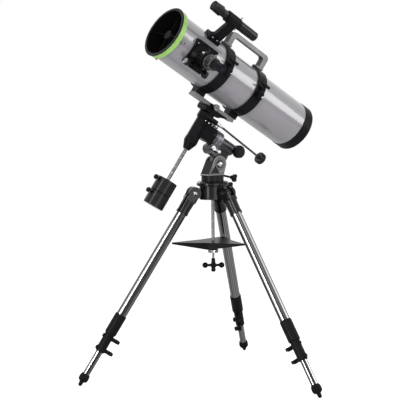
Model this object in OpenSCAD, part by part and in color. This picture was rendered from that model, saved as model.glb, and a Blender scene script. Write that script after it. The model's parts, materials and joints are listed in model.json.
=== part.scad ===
// Newtonian telescope on a German equatorial mount and a three-leg steel tripod.
// The floor is z = 0, +Z is up, and the polar axis leans towards -X.
// Lengths are millimetres and angles are degrees.

/* [Tripod] */
// Distance from a leg's hinge bolt to the ball of its foot
leg_length = 823; // [790:1:900]
// Lean of each leg from the vertical
leg_lean = 32.46; // [28:0.5:36]
// Direction of the back leg around the tripod's axis, seen from above
leg_turn = 38; // [0:1:90]
// Distance of the hinge bolts from the tripod's axis
hinge_r = 74; // [70:1:90]
// Radius of the hub's body
hub_r = 49.5; // [46:0.5:49.5]
// Height of the hub's body
hub_h = 51; // [44:1:60]
// Depth of the hub's underside below the hinge bolts
hub_drop = 25; // [20:1:28]
// Radius of the hub's top flange
flange_r = 60; // [56:1:66]
// Thickness of the hub's top flange
flange_h = 17; // [14:1:20]
// Width of the lug that each leg hinges on
lug_w = 20; // [16:1:24]
// Radius of the hinge bolts
bolt_r = 5; // [4:0.5:6]

/* [Legs] */
// Outer radius of the clevis casting and of its socket
socket_r = 23.5; // [21:0.5:23.5]
// Length of the socket below the hinge bolt
socket_len = 89; // [70:1:110]
// Outer radius of the upper tube
upper_tube_r = 19.25; // [17:0.25:20]
// Wall of the leg tubes
leg_wall = 1.75; // [1:0.25:2.5]
// Distance of the upper tube's lower end from the hinge bolt
upper_tube_end = 560; // [500:1:590]
// Distance of the leg clamp's upper end from the hinge bolt
clamp_start = 527; // [480:1:540]
// Length of the leg clamp's wide upper part
clamp_wide_len = 94; // [85:1:110]
// Length of the leg clamp's narrow lower part
clamp_narrow_len = 64; // [50:1:80]
// Outer radius of the leg extension tube
inner_tube_r = 13; // [11:0.25:14]
// Length of the leg extension tube
inner_tube_len = 450; // [380:1:500]
// Distance of the leg knobs' faces from the leg's centreline
knob_reach = 42; // [36:1:50]
// Radius of the foot's ball
foot_ball_r = 8; // [6:0.5:10]

/* [Spreader] */
// Height of the tray's top face above the floor
tray_z = 519; // [480:1:560]
// Radius of the tray's inner corners
tray_inner_r = 72; // [60:1:76]
// Thickness of the tray's plate
tray_t = 3; // [2:0.5:4]
// Depth of the tray's skirt at its inner corners
skirt_depth = 26; // [18:1:30]
// Radius of the spreader rod's upper part
rod_r = 6; // [5:0.5:8]
// Radius of the spreader rod's threaded lower part
rod_thread_r = 4; // [3:0.5:5]
// Depth of the handle's centre below the tray's top face
handle_drop = 92; // [80:1:110]
// Distance of the tray handle's end balls from the rod
handle_reach = 31; // [26:1:38]
// Direction of the tray handle's bar
handle_azimuth = -37; // [-90:1:90]

/* [Equatorial mount] */
// Latitude that the polar axis is set to
latitude = 30; // [25:1:45]
// Turn of the right ascension axis from the meridian
ra_turn = -11.5; // [-20:0.5:20]
// Radius of the mount base's drum
drum_r = 42; // [38:1:46]
// Height of the mount base's drum
drum_h = 21; // [16:1:26]
// Height of the latitude bolt above the drum
fork_h = 43; // [38:1:50]
// Offset of the latitude bolt from the tripod's axis
fork_offset = 16; // [8:1:20]
// Outer radius of the fork's ears
ear_r = 31; // [29:1:34]
// Outer width of the fork
fork_w = 50; // [46:1:60]
// Thickness of each fork ear
ear_t = 9; // [7:1:11]
// Radius of the latitude bolt
latitude_bolt_r = 7; // [5:0.5:8]
// Distance of the polar axis from the latitude bolt
polar_arm = 79.3; // [74:0.5:90]
// Distance along the polar axis from the latitude bolt to the Dec axis
dec_reach = 137.6; // [134:0.2:150]
// Radius of the polar and Dec axles
axle_r = 12; // [10:0.5:14]
// Outer radius of the polar axis housing
ra_tube_r = 23.5; // [21:0.5:25]
// Radius of the right ascension setting circle
ra_circle_r = 34; // [31:0.5:36]
// Radius of the Dec housing
dec_tube_r = 25; // [22:0.5:27]
// Height of the saddle
saddle_h = 20; // [16:0.5:30]

/* [Counterweights] */
// Radius of the counterweight shaft
shaft_r = 7; // [5:0.5:9]
// Radius of each counterweight
weight_r = 40; // [34:1:44]
// Length of each counterweight
weight_len = 54.8; // [44:0.2:60]
// Distance of the upper weight's top from the polar axis
weight_start = 227; // [160:1:240]

/* [Optical tube] */
// Outer radius of the tube
tube_r = 91; // [87:0.5:93]
// Wall of the tube
tube_wall = 1.5; // [1:0.5:3]
// Length of the tube ahead of the Dec axis
tube_front = 328; // [310:1:350]
// Length of the tube behind the Dec axis
tube_rear = 344; // [320:1:400]
// Length of the rear cap
cap_len = 44; // [36:1:60]
// Centre of the front ring along the tube
ring_front = 78.5; // [70:0.5:88]
// Centre of the rear ring along the tube
ring_rear = -93; // [-110:0.5:-86]
// Width of each ring
ring_w = 41; // [36:1:46]
// Thickness of the rings
ring_t = 6.7; // [5:0.1:9]
// Top width of the dovetail bar
dovetail_top_w = 34; // [30:1:36]
// Bottom width of the dovetail bar
dovetail_bottom_w = 42; // [40:1:44]
// Thickness of the dovetail bar
dovetail_t = 14.5; // [12:0.5:15.5]
// Height of the handle above the rings
handle_h = 59.5; // [48:0.5:75]
// Radius of the primary mirror
mirror_r = 75; // [70:1:80]

/* [Focuser and finder] */
// Place of the focuser along the tube
focuser_s = 201; // [192:0.5:210]
// Droop of the focuser below the level direction
focuser_droop = 7.5; // [0:0.5:12]
// Radius of the focuser's drawtube
drawtube_r = 25; // [22:0.5:26]
// Distance of the pinion from the focuser's axis
pinion_offset = 44; // [43.5:0.5:46]
// Radius of the focus knobs
focus_knob_r = 14; // [11:0.5:17]
// Angle of the finder around the tube from the handle
finder_angle = 35; // [30:1:45]
// Height of the finder's axis above the tube
finder_h = 105; // [95:1:120]
// Radius of the finder's body
finder_body_r = 15.5; // [13:0.5:17]

/* [Hidden] */

$fn = 96;
fit = 0.05;        // radial clearance of a running fit
clearance = 0.3;   // between pieces that don't bear on each other
over = 1;          // overshoot of a cut beyond the face that it opens

// The tripod's axis stands here, so that the whole object is centred on the origin.
tripod_x = 28.5;
tripod_y = 97;
leg_azimuths = [leg_turn + 120, leg_turn, leg_turn - 120];

foot_flat = 0.6;   // how much of the foot's ball is flattened on the floor
hinge_z = foot_ball_r - foot_flat + leg_length * cos(leg_lean);
hub_bottom = hinge_z - hub_drop;
flange_bottom = hub_bottom + hub_h;
hub_top = flange_bottom + flange_h;
spigot_r = 15;
spigot_len = 38;
lug_end_r = 17;
azimuth_screw_z = flange_bottom - 4.5;
small_screw_r = 4;

slot_end = lug_end_r + 4;
socket_bore = slot_end + 6;
clamp_step = clamp_start + clamp_wide_len - 18;
clamp_end = clamp_start + clamp_wide_len + clamp_narrow_len;
clamp_neck_r = upper_tube_r - 1;
knob_places = [clamp_start + clamp_wide_len + 2, clamp_end - 12];
bush_len = 20;
foot_top = 42;     // height of the foot's rim above the ball's centre
inner_tip = 14;    // height of the extension tube's end above the ball's centre
inner_start = leg_length - inner_tip - inner_tube_len;

// How far the leg's inner surface stands from the tripod's axis at the height of the tray
leg_inside = hinge_r + (hinge_z - tray_z) * tan(leg_lean) - upper_tube_r / cos(leg_lean);
tip_clearance = 0.5;   // lets the legs fold in as the tray starts to turn
tray_tip_r = leg_inside - tip_clearance / cos(leg_lean);
tray_boss_r = 14;
tray_boss_h = 31;
nut_top = tray_z - tray_boss_h - clearance;
nut_h = 13;
handle_z = tray_z - handle_drop;

drum_bottom = hub_top + clearance;
plate_h = 4;
fork_floor = drum_bottom + drum_h + plate_h;
pivot_x = fork_offset;
pivot_z = fork_floor + fork_h - plate_h;
tongue_w = fork_w - 2 * ear_t - 1;
tongue_r = ear_r - 5;
fork_front = -38;
fork_rear = 35;

// The latitude push bolt meets the tongue's tail square on, at this lever arm.
push_tilt = 12.5;
push_arm = 37.1;
push_knob = 84;    // distance of the push bolt's knob from its tip

// Places along the polar axis, from the Dec axis towards the pole
circle_top = -69.3;
circle_bottom = -104.7;
neck_r = 26;
housing_end = -178;
axle_end = -158;
polar_axle_end = -20;
ra_knob_x = -9;
ra_knob_z = -170;
ra_clamp_x = -44;
ra_clamp_z = -78;
block_end = -64;
block_flange_end = -69;
block_half = 30;
block_side = 28;

// Places along the Dec axis, from the polar axis towards the tube
dec_top = 64.7;
dec_axle_end = -40;
nose_end = -93;
shaft_top = -58;
worm_u = 48;
worm_t = 30;
worm_box_rear = -40;
worm_box_front = 15;
control_tilt = 3.2;
control_len = 242;
dec_clamp_u = 36.5;
dec_clamp_t = 24;
shaft_end = -(weight_start + 2 * weight_len + clearance) + over;
lower_weight_end = -(weight_start + 2 * weight_len + clearance);
upper_weight_end = -(weight_start + weight_len);
weight_screw_drop = 12;
weight_screw_r = 3;

ring_in = tube_r + clearance;
ring_r = ring_in + ring_t;
handle_top = ring_r + handle_h;
finder_r = tube_r + finder_h;
bar_top_h = -(ring_r + 15);
bar_bottom_h = bar_top_h - dovetail_t;
bar_front = 100;
bar_rear = -107;
saddle_bottom_u = dec_top + 0.6;
saddle_top_u = saddle_bottom_u + saddle_h;
// Distance of the tube's centreline from the polar axis
tube_height = saddle_top_u + clearance - bar_bottom_h;
jaw_top_u = tube_height + bar_top_h - 1.3;
saddle_half_w = 30;
saddle_front = 36;
saddle_rear = -69;
jaw_w = 18;
saddle_screw_u = saddle_top_u + 7.5;
saddle_screw_s = 3;
// The screw's tip clears the bar's sloped side.
saddle_screw_tip = dovetail_bottom_w / 2 - clearance;
hinge_t = ring_r + 6;
hinge_pin_r = 3;
knuckle_r = 7;
knuckle_w = 20;
lug_t = ring_r + 18;
lug_w_ring = 20;
ring_bolt_t = ring_r + 9;
foot_half = 18;
handle_half = 15;
handle_foot_h = ring_r + 2;
handle_foot_t = 6;
handle_pad_w = 26;
handle_bar_t = 15.5;

// The spider's vanes stand just behind the tube's front edge.
vane_len = 20;
vane_start = tube_front - 38;

base_top = tube_r + 7;
collar_base = tube_r + 24;
collar_r = 33;
collar_top = tube_r + 69;
pinion_r = 9;
rack_face = pinion_offset - pinion_r - clearance;
pinion_shaft_r = 3;
pinion_z = tube_r + 26;
pinion_shift = 5;
knob_out = 56;
adapter_top = tube_r + 115;
eyepiece_end = tube_r + 169;
sleeve_r = 21;
sleeve_front = 208;
sleeve_rear = 148;
finder_front = 276;
finder_rear = 57;

black = [0.11, 0.11, 0.12];
iron = [0.20, 0.20, 0.21];
grey = [0.52, 0.52, 0.54];
steel = [0.75, 0.76, 0.78];
chrome = [0.86, 0.87, 0.89];
tube_grey = [0.60, 0.59, 0.61];
green = [0.45, 0.78, 0.30];

// ---- Frames ----

// Around the tripod's axis, on the floor
module on_tripod() {
  translate([tripod_x, tripod_y, 0]) children();
}

// On leg i, with the origin at its hinge bolt and z running down the leg; +x faces inwards.
module on_leg(i) {
  on_tripod() rotate([0, 0, leg_azimuths[i]]) translate([hinge_r, 0, hinge_z])
    rotate([0, 180 - leg_lean, 0]) children();
}

// At the latitude bolt, with the axes of the row
module on_latitude() {
  on_tripod() translate([pivot_x, 0, pivot_z]) children();
}

// At the Dec axis, on the fixed part of the polar axis, with z towards the pole
module on_polar() {
  on_latitude() rotate([0, latitude - 90, 0]) translate([polar_arm, 0, dec_reach]) children();
}

// At the Dec axis, turning with it: x along the Dec axis, z along the polar axis
module on_ra() {
  on_polar() rotate([0, 0, ra_turn]) children();
}

// On the Dec axis, with z running up it
module on_dec() {
  on_ra() rotate([0, 90, 0]) children();
}

// On the tube's centreline: z forwards, x away from the mount, -y to the focuser's side
module on_tube() {
  on_ra() translate([tube_height, 0, 0]) children();
}

// On the focuser's axis: z outwards, x up, y forwards
module on_focuser() {
  on_tube() translate([0, 0, focuser_s]) rotate([0, 0, -focuser_droop]) rotate([90, 0, 0])
    children();
}

// On the finder's shoe: x outwards from the tube's centreline, z forwards
module on_finder() {
  on_tube() rotate([0, 0, -finder_angle]) children();
}

// At the tip of the latitude push bolt, with z out to its knob
module on_push_bolt() {
  on_latitude() rotate([0, 90 + push_tilt, 0]) translate([push_arm, 0, 0]) children();
}

// On the Dec slow motion stalk, with z running back along it
module on_control() {
  on_ra() translate([worm_u, -worm_t, worm_box_rear]) rotate([180, control_tilt, 0]) children();
}

// Stands a side outline up: its x runs forwards along the tube and its y away from the mount.
module along_tube() {
  rotate([0, -90, -90]) children();
}

// ---- Shared shapes ----

// A ring along z
module ring(r_out, r_in, h) {
  difference() {
    cylinder(r = r_out, h = h);
    translate([0, 0, -over]) cylinder(r = r_in, h = h + 2 * over);
  }
}

// A block centred on x and y, rising along z
module block(x, y, h) {
  translate([-x / 2, -y / 2, 0]) cube([x, y, h]);
}

// A solid of revolution along z, from its outline of [radius, height] points
module turned(points) {
  rotate_extrude() polygon(points);
}

// A lobed hand knob along z
module lobed_knob(r, h, lobes) {
  difference() {
    turned([[0, 0], [r - 3, 0], [r, 3], [r, h - 3], [r - 3, h], [0, h]]);
    for (i = [0:lobes - 1])
      rotate([0, 0, i * 360 / lobes]) translate([r + 2.5, 0, -over])
        cylinder(r = 4.5, h = h + 2 * over, $fn = 32);
  }
}

// A wing-headed screw along z: its stem starts at 0 and its head at reach.
module wing_screw(stem_r, reach, wing, depth) {
  lobe_r = 8;
  cylinder(r = stem_r, h = reach + 2);
  translate([0, 0, reach]) cylinder(r = stem_r + 4, h = depth - 4);
  translate([0, 0, reach + depth - 2 * lobe_r]) {
    translate([0, 0, 2]) block(2 * (wing - lobe_r), 9, 2 * lobe_r - 3);
    for (side = [-1, 1])
      translate([side * (wing - lobe_r), 0, lobe_r]) rotate([90, 0, 0])
        cylinder(r = lobe_r, h = 11, center = true, $fn = 40);
  }
}

// Where the tangent from point p touches the circle of radius r around c; turn picks its side.
function tangent_point(p, c, r, turn) =
  let (d = c - p)
  let (reach = sqrt(norm(d) * norm(d) - r * r))
  let (angle = atan2(d.y, d.x) + turn * asin(r / norm(d)))
  p + reach * [cos(angle), sin(angle)];

// A plate outline that runs from the line a-b and closes tangent to the circle around c
module tongue_outline(a, b, c, r) {
  polygon([a, b, tangent_point(b, c, r, -1), tangent_point(a, c, r, 1)]);
  translate(c) circle(r = r);
}

function polar(r, a) = [r * cos(a), r * sin(a)];

// ---- Tripod ----

module tripod_hub() {
  color(black) on_tripod() difference() {
    union() {
      translate([0, 0, hub_bottom]) cylinder(r = hub_r, h = hub_h + over);
      translate([0, 0, flange_bottom]) turned([
        [0, 0], [flange_r - 3, 0], [flange_r, 3], [flange_r, flange_h - 6],
        [flange_r - 6, flange_h], [0, flange_h],
      ]);
      for (azimuth = leg_azimuths) rotate([0, 0, azimuth]) {
        translate([hub_r - 8, -lug_w / 2, hinge_z - lug_end_r])
          cube([hinge_r - hub_r + 8, lug_w, 2 * lug_end_r]);
        translate([hinge_r, 0, hinge_z]) rotate([90, 0, 0])
          cylinder(r = lug_end_r, h = lug_w, center = true);
      }
    }
    for (azimuth = leg_azimuths) rotate([0, 0, azimuth]) translate([hinge_r, 0, hinge_z])
      rotate([90, 0, 0]) cylinder(r = bolt_r + fit, h = lug_w + 2 * over, center = true);
    translate([0, 0, hub_top - spigot_len - 2]) cylinder(r = spigot_r + fit, h = spigot_len + 2 + over);
    translate([0, 0, hub_bottom - over]) cylinder(r = rod_r + fit, h = 16 + over);
    translate([0, 0, azimuth_screw_z]) rotate([0, 90, 0])
      cylinder(r = small_screw_r + fit, h = flange_r + over);
  }
}

// Three identical hinge bolts, each with its head and nut outside the clevis
module leg_bolts() {
  outside = socket_r + clearance;
  color(chrome) on_tripod() for (azimuth = leg_azimuths)
    rotate([0, 0, azimuth]) translate([hinge_r, 0, hinge_z]) rotate([-90, 0, 0]) {
      translate([0, 0, -outside - over]) cylinder(r = bolt_r, h = 2 * outside + 2 * over);
      translate([0, 0, outside]) turned([[0, 0], [9, 0], [9, 3], [6.5, 6], [0, 7]]);
      translate([0, 0, -outside - 6]) cylinder(r = 8.5, h = 6, $fn = 6);
    }
}

module leg_socket(i) {
  color(black) on_leg(i) difference() {
    union() {
      rotate([90, 0, 0]) cylinder(r = socket_r, h = 2 * socket_r, center = true);
      intersection() {
        block(2 * socket_r, 2 * socket_r, 34);
        cylinder(r = socket_r + 4, h = 34);
      }
      translate([0, 0, 30]) cylinder(r1 = socket_r, r2 = socket_r - 1.5, h = socket_len - 38);
      translate([0, 0, socket_len - 9]) cylinder(r = socket_r, h = 9);
    }
    translate([0, 0, -socket_r - over])
      block(4 * socket_r, lug_w + 2 * clearance, socket_r + over + slot_end);
    rotate([90, 0, 0]) cylinder(r = bolt_r + fit, h = 2 * socket_r + 2 * over, center = true);
    translate([0, 0, socket_bore]) cylinder(r = upper_tube_r + fit, h = socket_len);
  }
}

module leg_tube(i) {
  start = socket_bore + clearance;
  color(steel) on_leg(i) translate([0, 0, start])
    ring(upper_tube_r, upper_tube_r - leg_wall, upper_tube_end - start);
}

module leg_clamp(i) {
  wide_r = upper_tube_r + 3.2;
  narrow_len = clamp_wide_len + clamp_narrow_len;
  color(black) on_leg(i) difference() {
    union() {
      translate([0, 0, clamp_start]) turned([
        [0, 0], [wide_r - 1, 0], [wide_r, 4], [wide_r, clamp_wide_len - 15],
        [clamp_neck_r, clamp_wide_len - 9], [clamp_neck_r, narrow_len - 3],
        [clamp_neck_r - 3, narrow_len], [0, narrow_len],
      ]);
      for (place = knob_places) translate([0, 0, place]) rotate([0, 90, 0])
        cylinder(r = 8, h = knob_reach - 16);
    }
    translate([0, 0, clamp_start - over])
      cylinder(r = upper_tube_r + fit, h = clamp_step - clamp_start + over);
    translate([0, 0, clamp_step - over])
      cylinder(r = inner_tube_r + fit, h = clamp_end - clamp_step + 2 * over);
    for (place = knob_places) translate([0, 0, place]) rotate([0, 90, 0])
      cylinder(r = small_screw_r + fit, h = knob_reach);
  }
}

// The two clamp screws that press on the extension tube
module leg_knobs(i) {
  stem_start = inner_tube_r + clearance;
  color(black) on_leg(i) for (place = knob_places)
    translate([stem_start, 0, place]) rotate([0, 90, 0]) rotate([0, 0, 90])
      wing_screw(small_screw_r, knob_reach - 13 - stem_start, 15, 20);
}

module leg_inner(i) {
  bush_r = upper_tube_r - leg_wall - clearance;
  color(steel) on_leg(i) translate([0, 0, inner_start]) difference() {
    union() {
      cylinder(r = inner_tube_r, h = inner_tube_len);
      cylinder(r = bush_r, h = bush_len);
    }
    translate([0, 0, -over]) cylinder(r = inner_tube_r - leg_wall, h = inner_tube_len + 2 * over);
  }
}

module leg_foot(i) {
  rim_r = inner_tube_r + 5;
  rim_tilt = 22;
  color(black) intersection() {
    on_leg(i) translate([0, 0, leg_length]) difference() {
      union() {
        sphere(r = foot_ball_r);
        rotate([180, 0, 0]) turned([
          [0, 0], [foot_ball_r, 0], [foot_ball_r + 2, 6], [rim_r - 2, 12], [rim_r - 1, 18],
          [rim_r + 1.5, 26], [rim_r, foot_top], [0, foot_top],
        ]);
      }
      rotate([180, 0, 0]) translate([0, 0, inner_tip]) cylinder(r = inner_tube_r + fit, h = foot_top);
      // The rim stands higher on the outer side.
      translate([-rim_r - 2, 0, -foot_top]) rotate([0, -rim_tilt, 0])
        translate([-10, -40, -60]) cube([80, 80, 60]);
    }
    on_tripod() cylinder(r = 2 * leg_length, h = hinge_z);
  }
}

// ---- Spreader ----

module spreader_rod() {
  rod_end = handle_z - 6;
  color(steel) on_tripod() {
    translate([0, 0, nut_top - nut_h]) cylinder(r = rod_r, h = hub_bottom + 14 - nut_top + nut_h);
    translate([0, 0, rod_end]) cylinder(r = rod_thread_r, h = nut_top - nut_h - rod_end + over);
  }
}

// Angle between the tray's edges and the line from its middle to their tip
tray_edge_turn = atan2(tray_inner_r * sin(60), tray_tip_r - tray_inner_r * cos(60));

function turned_by(p, a) = [p.x * cos(a) - p.y * sin(a), p.x * sin(a) + p.y * cos(a)];

// The tray's outline, moved in by inset from its edges; each tip is cut off square.
module tray_outline(inset) {
  tip_w = 3.5;
  corner_r = tray_inner_r - inset / sin(60 + tray_edge_turn);
  tip_x = tray_tip_r - tip_w / tan(tray_edge_turn) - inset;
  tip_y = (tray_tip_r - inset / sin(tray_edge_turn) - tip_x) * tan(tray_edge_turn);
  polygon([for (azimuth = leg_azimuths) each [
    turned_by([tip_x, tip_y], azimuth),
    turned_by([tip_x, -tip_y], azimuth),
    polar(corner_r, azimuth - 60),
  ]]);
}

// Three-pointed tray that pushes the legs apart
module spreader_tray() {
  tip_depth = 5;
  corner_x = tray_inner_r * cos(60) + 3;
  slope = atan2(skirt_depth - tip_depth, tray_tip_r - corner_x);
  color(black) on_tripod() translate([0, 0, tray_z]) difference() {
    union() {
      translate([0, 0, -tray_t]) linear_extrude(tray_t) tray_outline(0);
      difference() {
        translate([0, 0, -skirt_depth]) linear_extrude(skirt_depth - tray_t + over) difference() {
          tray_outline(0);
          tray_outline(tray_t);
        }
        // The skirt gets shallower towards each tip.
        for (azimuth = leg_azimuths) rotate([0, 0, azimuth])
          translate([corner_x, -tray_tip_r, -skirt_depth]) rotate([0, -slope, 0])
            translate([-2 * tray_tip_r, 0, -skirt_depth])
              cube([4 * tray_tip_r, 2 * tray_tip_r, skirt_depth]);
      }
      translate([0, 0, -tray_boss_h]) cylinder(r = tray_boss_r, h = tray_boss_h - tray_t + over);
    }
    translate([0, 0, -tray_boss_h - over]) cylinder(r = rod_r + fit, h = tray_boss_h + 2 * over);
  }
}

module tray_nut() {
  r = 19.5;
  color(chrome) on_tripod() translate([0, 0, nut_top - nut_h]) difference() {
    turned([[0, 0], [r - 2, 0], [r, 2], [r, nut_h - 2], [r - 2, nut_h], [0, nut_h]]);
    translate([0, 0, -over]) cylinder(r = rod_r + fit, h = nut_h + 2 * over);
  }
}

// Ball-ended handle on the rod's thread
module tray_handle() {
  color(black) on_tripod() translate([0, 0, handle_z]) rotate([0, 0, handle_azimuth]) difference() {
    union() {
      rotate([0, 0, 90]) turned([
        [0, -25], [5, -25], [8, -22], [9, -17], [7, -11], [10, -7], [11, 0], [10, 6], [8, 10], [7, 26], [0, 26],
      ]);
      rotate([0, 90, 0]) cylinder(r = 5, h = 2 * handle_reach, center = true);
      for (turn = [0, 180]) rotate([0, 0, turn]) translate([handle_reach, 0, 0]) sphere(r = 11);
    }
    translate([0, 0, -7]) cylinder(r = rod_thread_r + fit, h = 40);
  }
}

// ---- Equatorial mount: base and polar axis ----

module fork_outline() {
  tongue_outline([fork_front, fork_floor - over], [fork_rear, fork_floor - over], [pivot_x, pivot_z], ear_r);
}

// The wall that joins the ears in front, along their tangent edge
module fork_wall_outline() {
  foot = [fork_front, fork_floor - over];
  top = tangent_point(foot, [pivot_x, pivot_z], ear_r, 1);
  along = (top - foot) / norm(top - foot);
  inward = (ear_r - tongue_r - 0.8) * [along.y, -along.x];
  end = top - 2 * along;
  polygon([foot, foot + inward, end + inward, end]);
}

// The sunk triangle between each ear's boss and its front edge
module fork_recess_outline() {
  difference() {
    polygon([
      [fork_front + 12, fork_floor + 5], [pivot_x - 2, fork_floor + 5], [pivot_x - 21, pivot_z - 4],
    ]);
    translate([pivot_x, pivot_z]) circle(r = ear_r - 11);
  }
}

module mount_base() {
  ear_in = fork_w / 2 - ear_t;
  recess = 3;
  color(grey) on_tripod() difference() {
    union() {
      translate([0, 0, drum_bottom - spigot_len]) cylinder(r = spigot_r, h = spigot_len + over);
      translate([0, 0, drum_bottom]) cylinder(r = drum_r, h = drum_h + over);
      translate([fork_front, -fork_w / 2 - 2, fork_floor - plate_h])
        cube([fork_rear - fork_front, fork_w + 4, plate_h]);
      for (y = [-ear_in, fork_w / 2]) translate([0, y, 0]) rotate([90, 0, 0])
        linear_extrude(ear_t) fork_outline();
      translate([0, fork_w / 2, 0]) rotate([90, 0, 0]) linear_extrude(fork_w) fork_wall_outline();
      translate([pivot_x, 0, pivot_z]) rotate([0, 90 + push_tilt, 0]) translate([push_arm, 0, 22])
        cylinder(r = 8.5, h = 14);
    }
    translate([pivot_x, 0, pivot_z]) rotate([90, 0, 0])
      cylinder(r = latitude_bolt_r + fit, h = fork_w + 2 * over, center = true);
    // The tongue's tail swings in this pocket.
    translate([-6, 0, fork_floor - 14]) block(56, 2 * ear_in, 14 + over);
    translate([pivot_x, 0, pivot_z]) rotate([0, 90 + push_tilt, 0]) translate([push_arm, 0, 5])
      cylinder(r = small_screw_r + fit, h = 60);
    for (y = [-fork_w / 2 + recess, fork_w / 2 + over]) translate([0, y, 0]) rotate([90, 0, 0])
      linear_extrude(recess + over) fork_recess_outline();
  }
}

// Screw that locks the mount's spigot in the hub
module azimuth_knob() {
  color(black) on_tripod() translate([spigot_r + clearance, 0, azimuth_screw_z]) rotate([0, 90, 0])
    wing_screw(small_screw_r, hub_r + 3, 13.5, 26);
}

// Screw that pushes the tongue's tail to raise the polar axis
module latitude_knob() {
  color(black) on_push_bolt() {
    translate([0, 0, small_screw_r]) wing_screw(small_screw_r, push_knob - small_screw_r, 15, 24);
    translate([0, 0, small_screw_r]) sphere(r = small_screw_r);
  }
}

module latitude_bolt() {
  outside = fork_w / 2 + clearance;
  color(chrome) on_latitude() rotate([90, 0, 0]) {
    translate([0, 0, -outside - over]) cylinder(r = latitude_bolt_r, h = 2 * outside + 2 * over);
    translate([0, 0, outside]) turned([[0, 0], [11, 0], [11, 2], [9, 5], [5, 6.5], [0, 7]]);
    translate([0, 0, -outside - 8]) cylinder(r = 11, h = 8, $fn = 6);
  }
}

module ra_housing() {
  worm_r = 20;
  worm_w = 44;
  circle_clear = ra_circle_r + 0.6;
  color(iron) {
    on_polar() difference() {
      union() {
        translate([0, 0, housing_end]) cylinder(r = ra_tube_r, h = circle_bottom - clearance - housing_end);
        translate([0, 0, housing_end - 5]) cylinder(r1 = ra_tube_r - 5, r2 = ra_tube_r - 2, h = 5 + over);
        translate([0, 0, circle_bottom - clearance - 5]) cylinder(r = ra_tube_r + 5, h = 5);
        translate([0, 0, circle_bottom - clearance - over])
          cylinder(r = neck_r, h = circle_top - circle_bottom + clearance + over);
        rotate([90, 0, 0]) linear_extrude(tongue_w, center = true)
          tongue_outline([-14, -166], [-14, -112], [-polar_arm, -dec_reach], tongue_r);
        difference() {
          union() {
            translate([-42, 0, -87]) rotate([90, 0, 0]) cylinder(r = worm_r, h = worm_w, center = true);
            translate([-38, 0, -125]) block(44, tongue_w, 30);
          }
          translate([0, 0, circle_bottom - clearance]) cylinder(r = circle_clear, h = 60);
        }
      }
      translate([0, 0, axle_end - clearance]) cylinder(r = axle_r + fit, h = 100);
      translate([ra_knob_x, 0, ra_knob_z]) rotate([90, 0, 0]) translate([0, 0, 6])
        cylinder(r = small_screw_r + fit, h = ra_tube_r);
      translate([ra_clamp_x, 0, ra_clamp_z]) rotate([90, 0, 0]) translate([0, 0, 6])
        cylinder(r = small_screw_r + fit, h = worm_w);
      translate([-polar_arm, 0, -dec_reach]) rotate([90, 0, 0])
        cylinder(r = latitude_bolt_r + fit, h = tongue_w + 2 * over, center = true);
    }
    // The tail that the push bolt bears on
    on_push_bolt() translate([-push_arm + latitude_bolt_r + 8, -9, -14 - clearance])
      cube([push_arm - latitude_bolt_r - 8 + 5, 18, 14]);
  }
}

// Right ascension setting circle, free to turn on the housing's neck
module ra_circle() {
  h = circle_top - circle_bottom;
  color(steel) on_polar() translate([0, 0, circle_bottom]) difference() {
    turned([
      [0, 0], [ra_circle_r - 1, 0], [ra_circle_r, 1], [ra_circle_r, h - 14], [ra_circle_r - 2, h - 12],
      [ra_circle_r - 2, h - 1], [ra_circle_r - 3, h], [0, h],
    ]);
    translate([0, 0, -over]) cylinder(r = neck_r + fit, h = h + 2 * over);
  }
}

module ra_knob() {
  reach = ra_tube_r + 25;
  color(black) on_polar() translate([ra_knob_x, 0, ra_knob_z]) rotate([90, 0, 0]) {
    translate([0, 0, 7]) cylinder(r = small_screw_r, h = reach - 6);
    translate([0, 0, ra_tube_r + 4]) cylinder(r = small_screw_r + 3, h = reach - ra_tube_r - 3);
    translate([0, 0, reach]) lobed_knob(24, 22, 12);
    translate([0, 0, reach + 21]) cylinder(r = 13, h = 3);
  }
}

// Lever that locks the polar axis
module ra_clamp() {
  color(chrome) on_polar() translate([ra_clamp_x, 0, ra_clamp_z]) rotate([90, 0, 0]) {
    translate([0, 0, 7]) cylinder(r = small_screw_r, h = 20);
    translate([0, 0, 22 + clearance]) cylinder(r = 8.5, h = 11);
    translate([-4, -30, 26]) cube([8, 30, 7]);
    translate([0, -30, 26]) cylinder(r = 5.5, h = 8);
  }
}

module polar_axle() {
  color(steel) on_polar() translate([0, 0, axle_end])
    cylinder(r = axle_r, h = polar_axle_end - axle_end);
}

// ---- Equatorial mount: Dec axis ----

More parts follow.
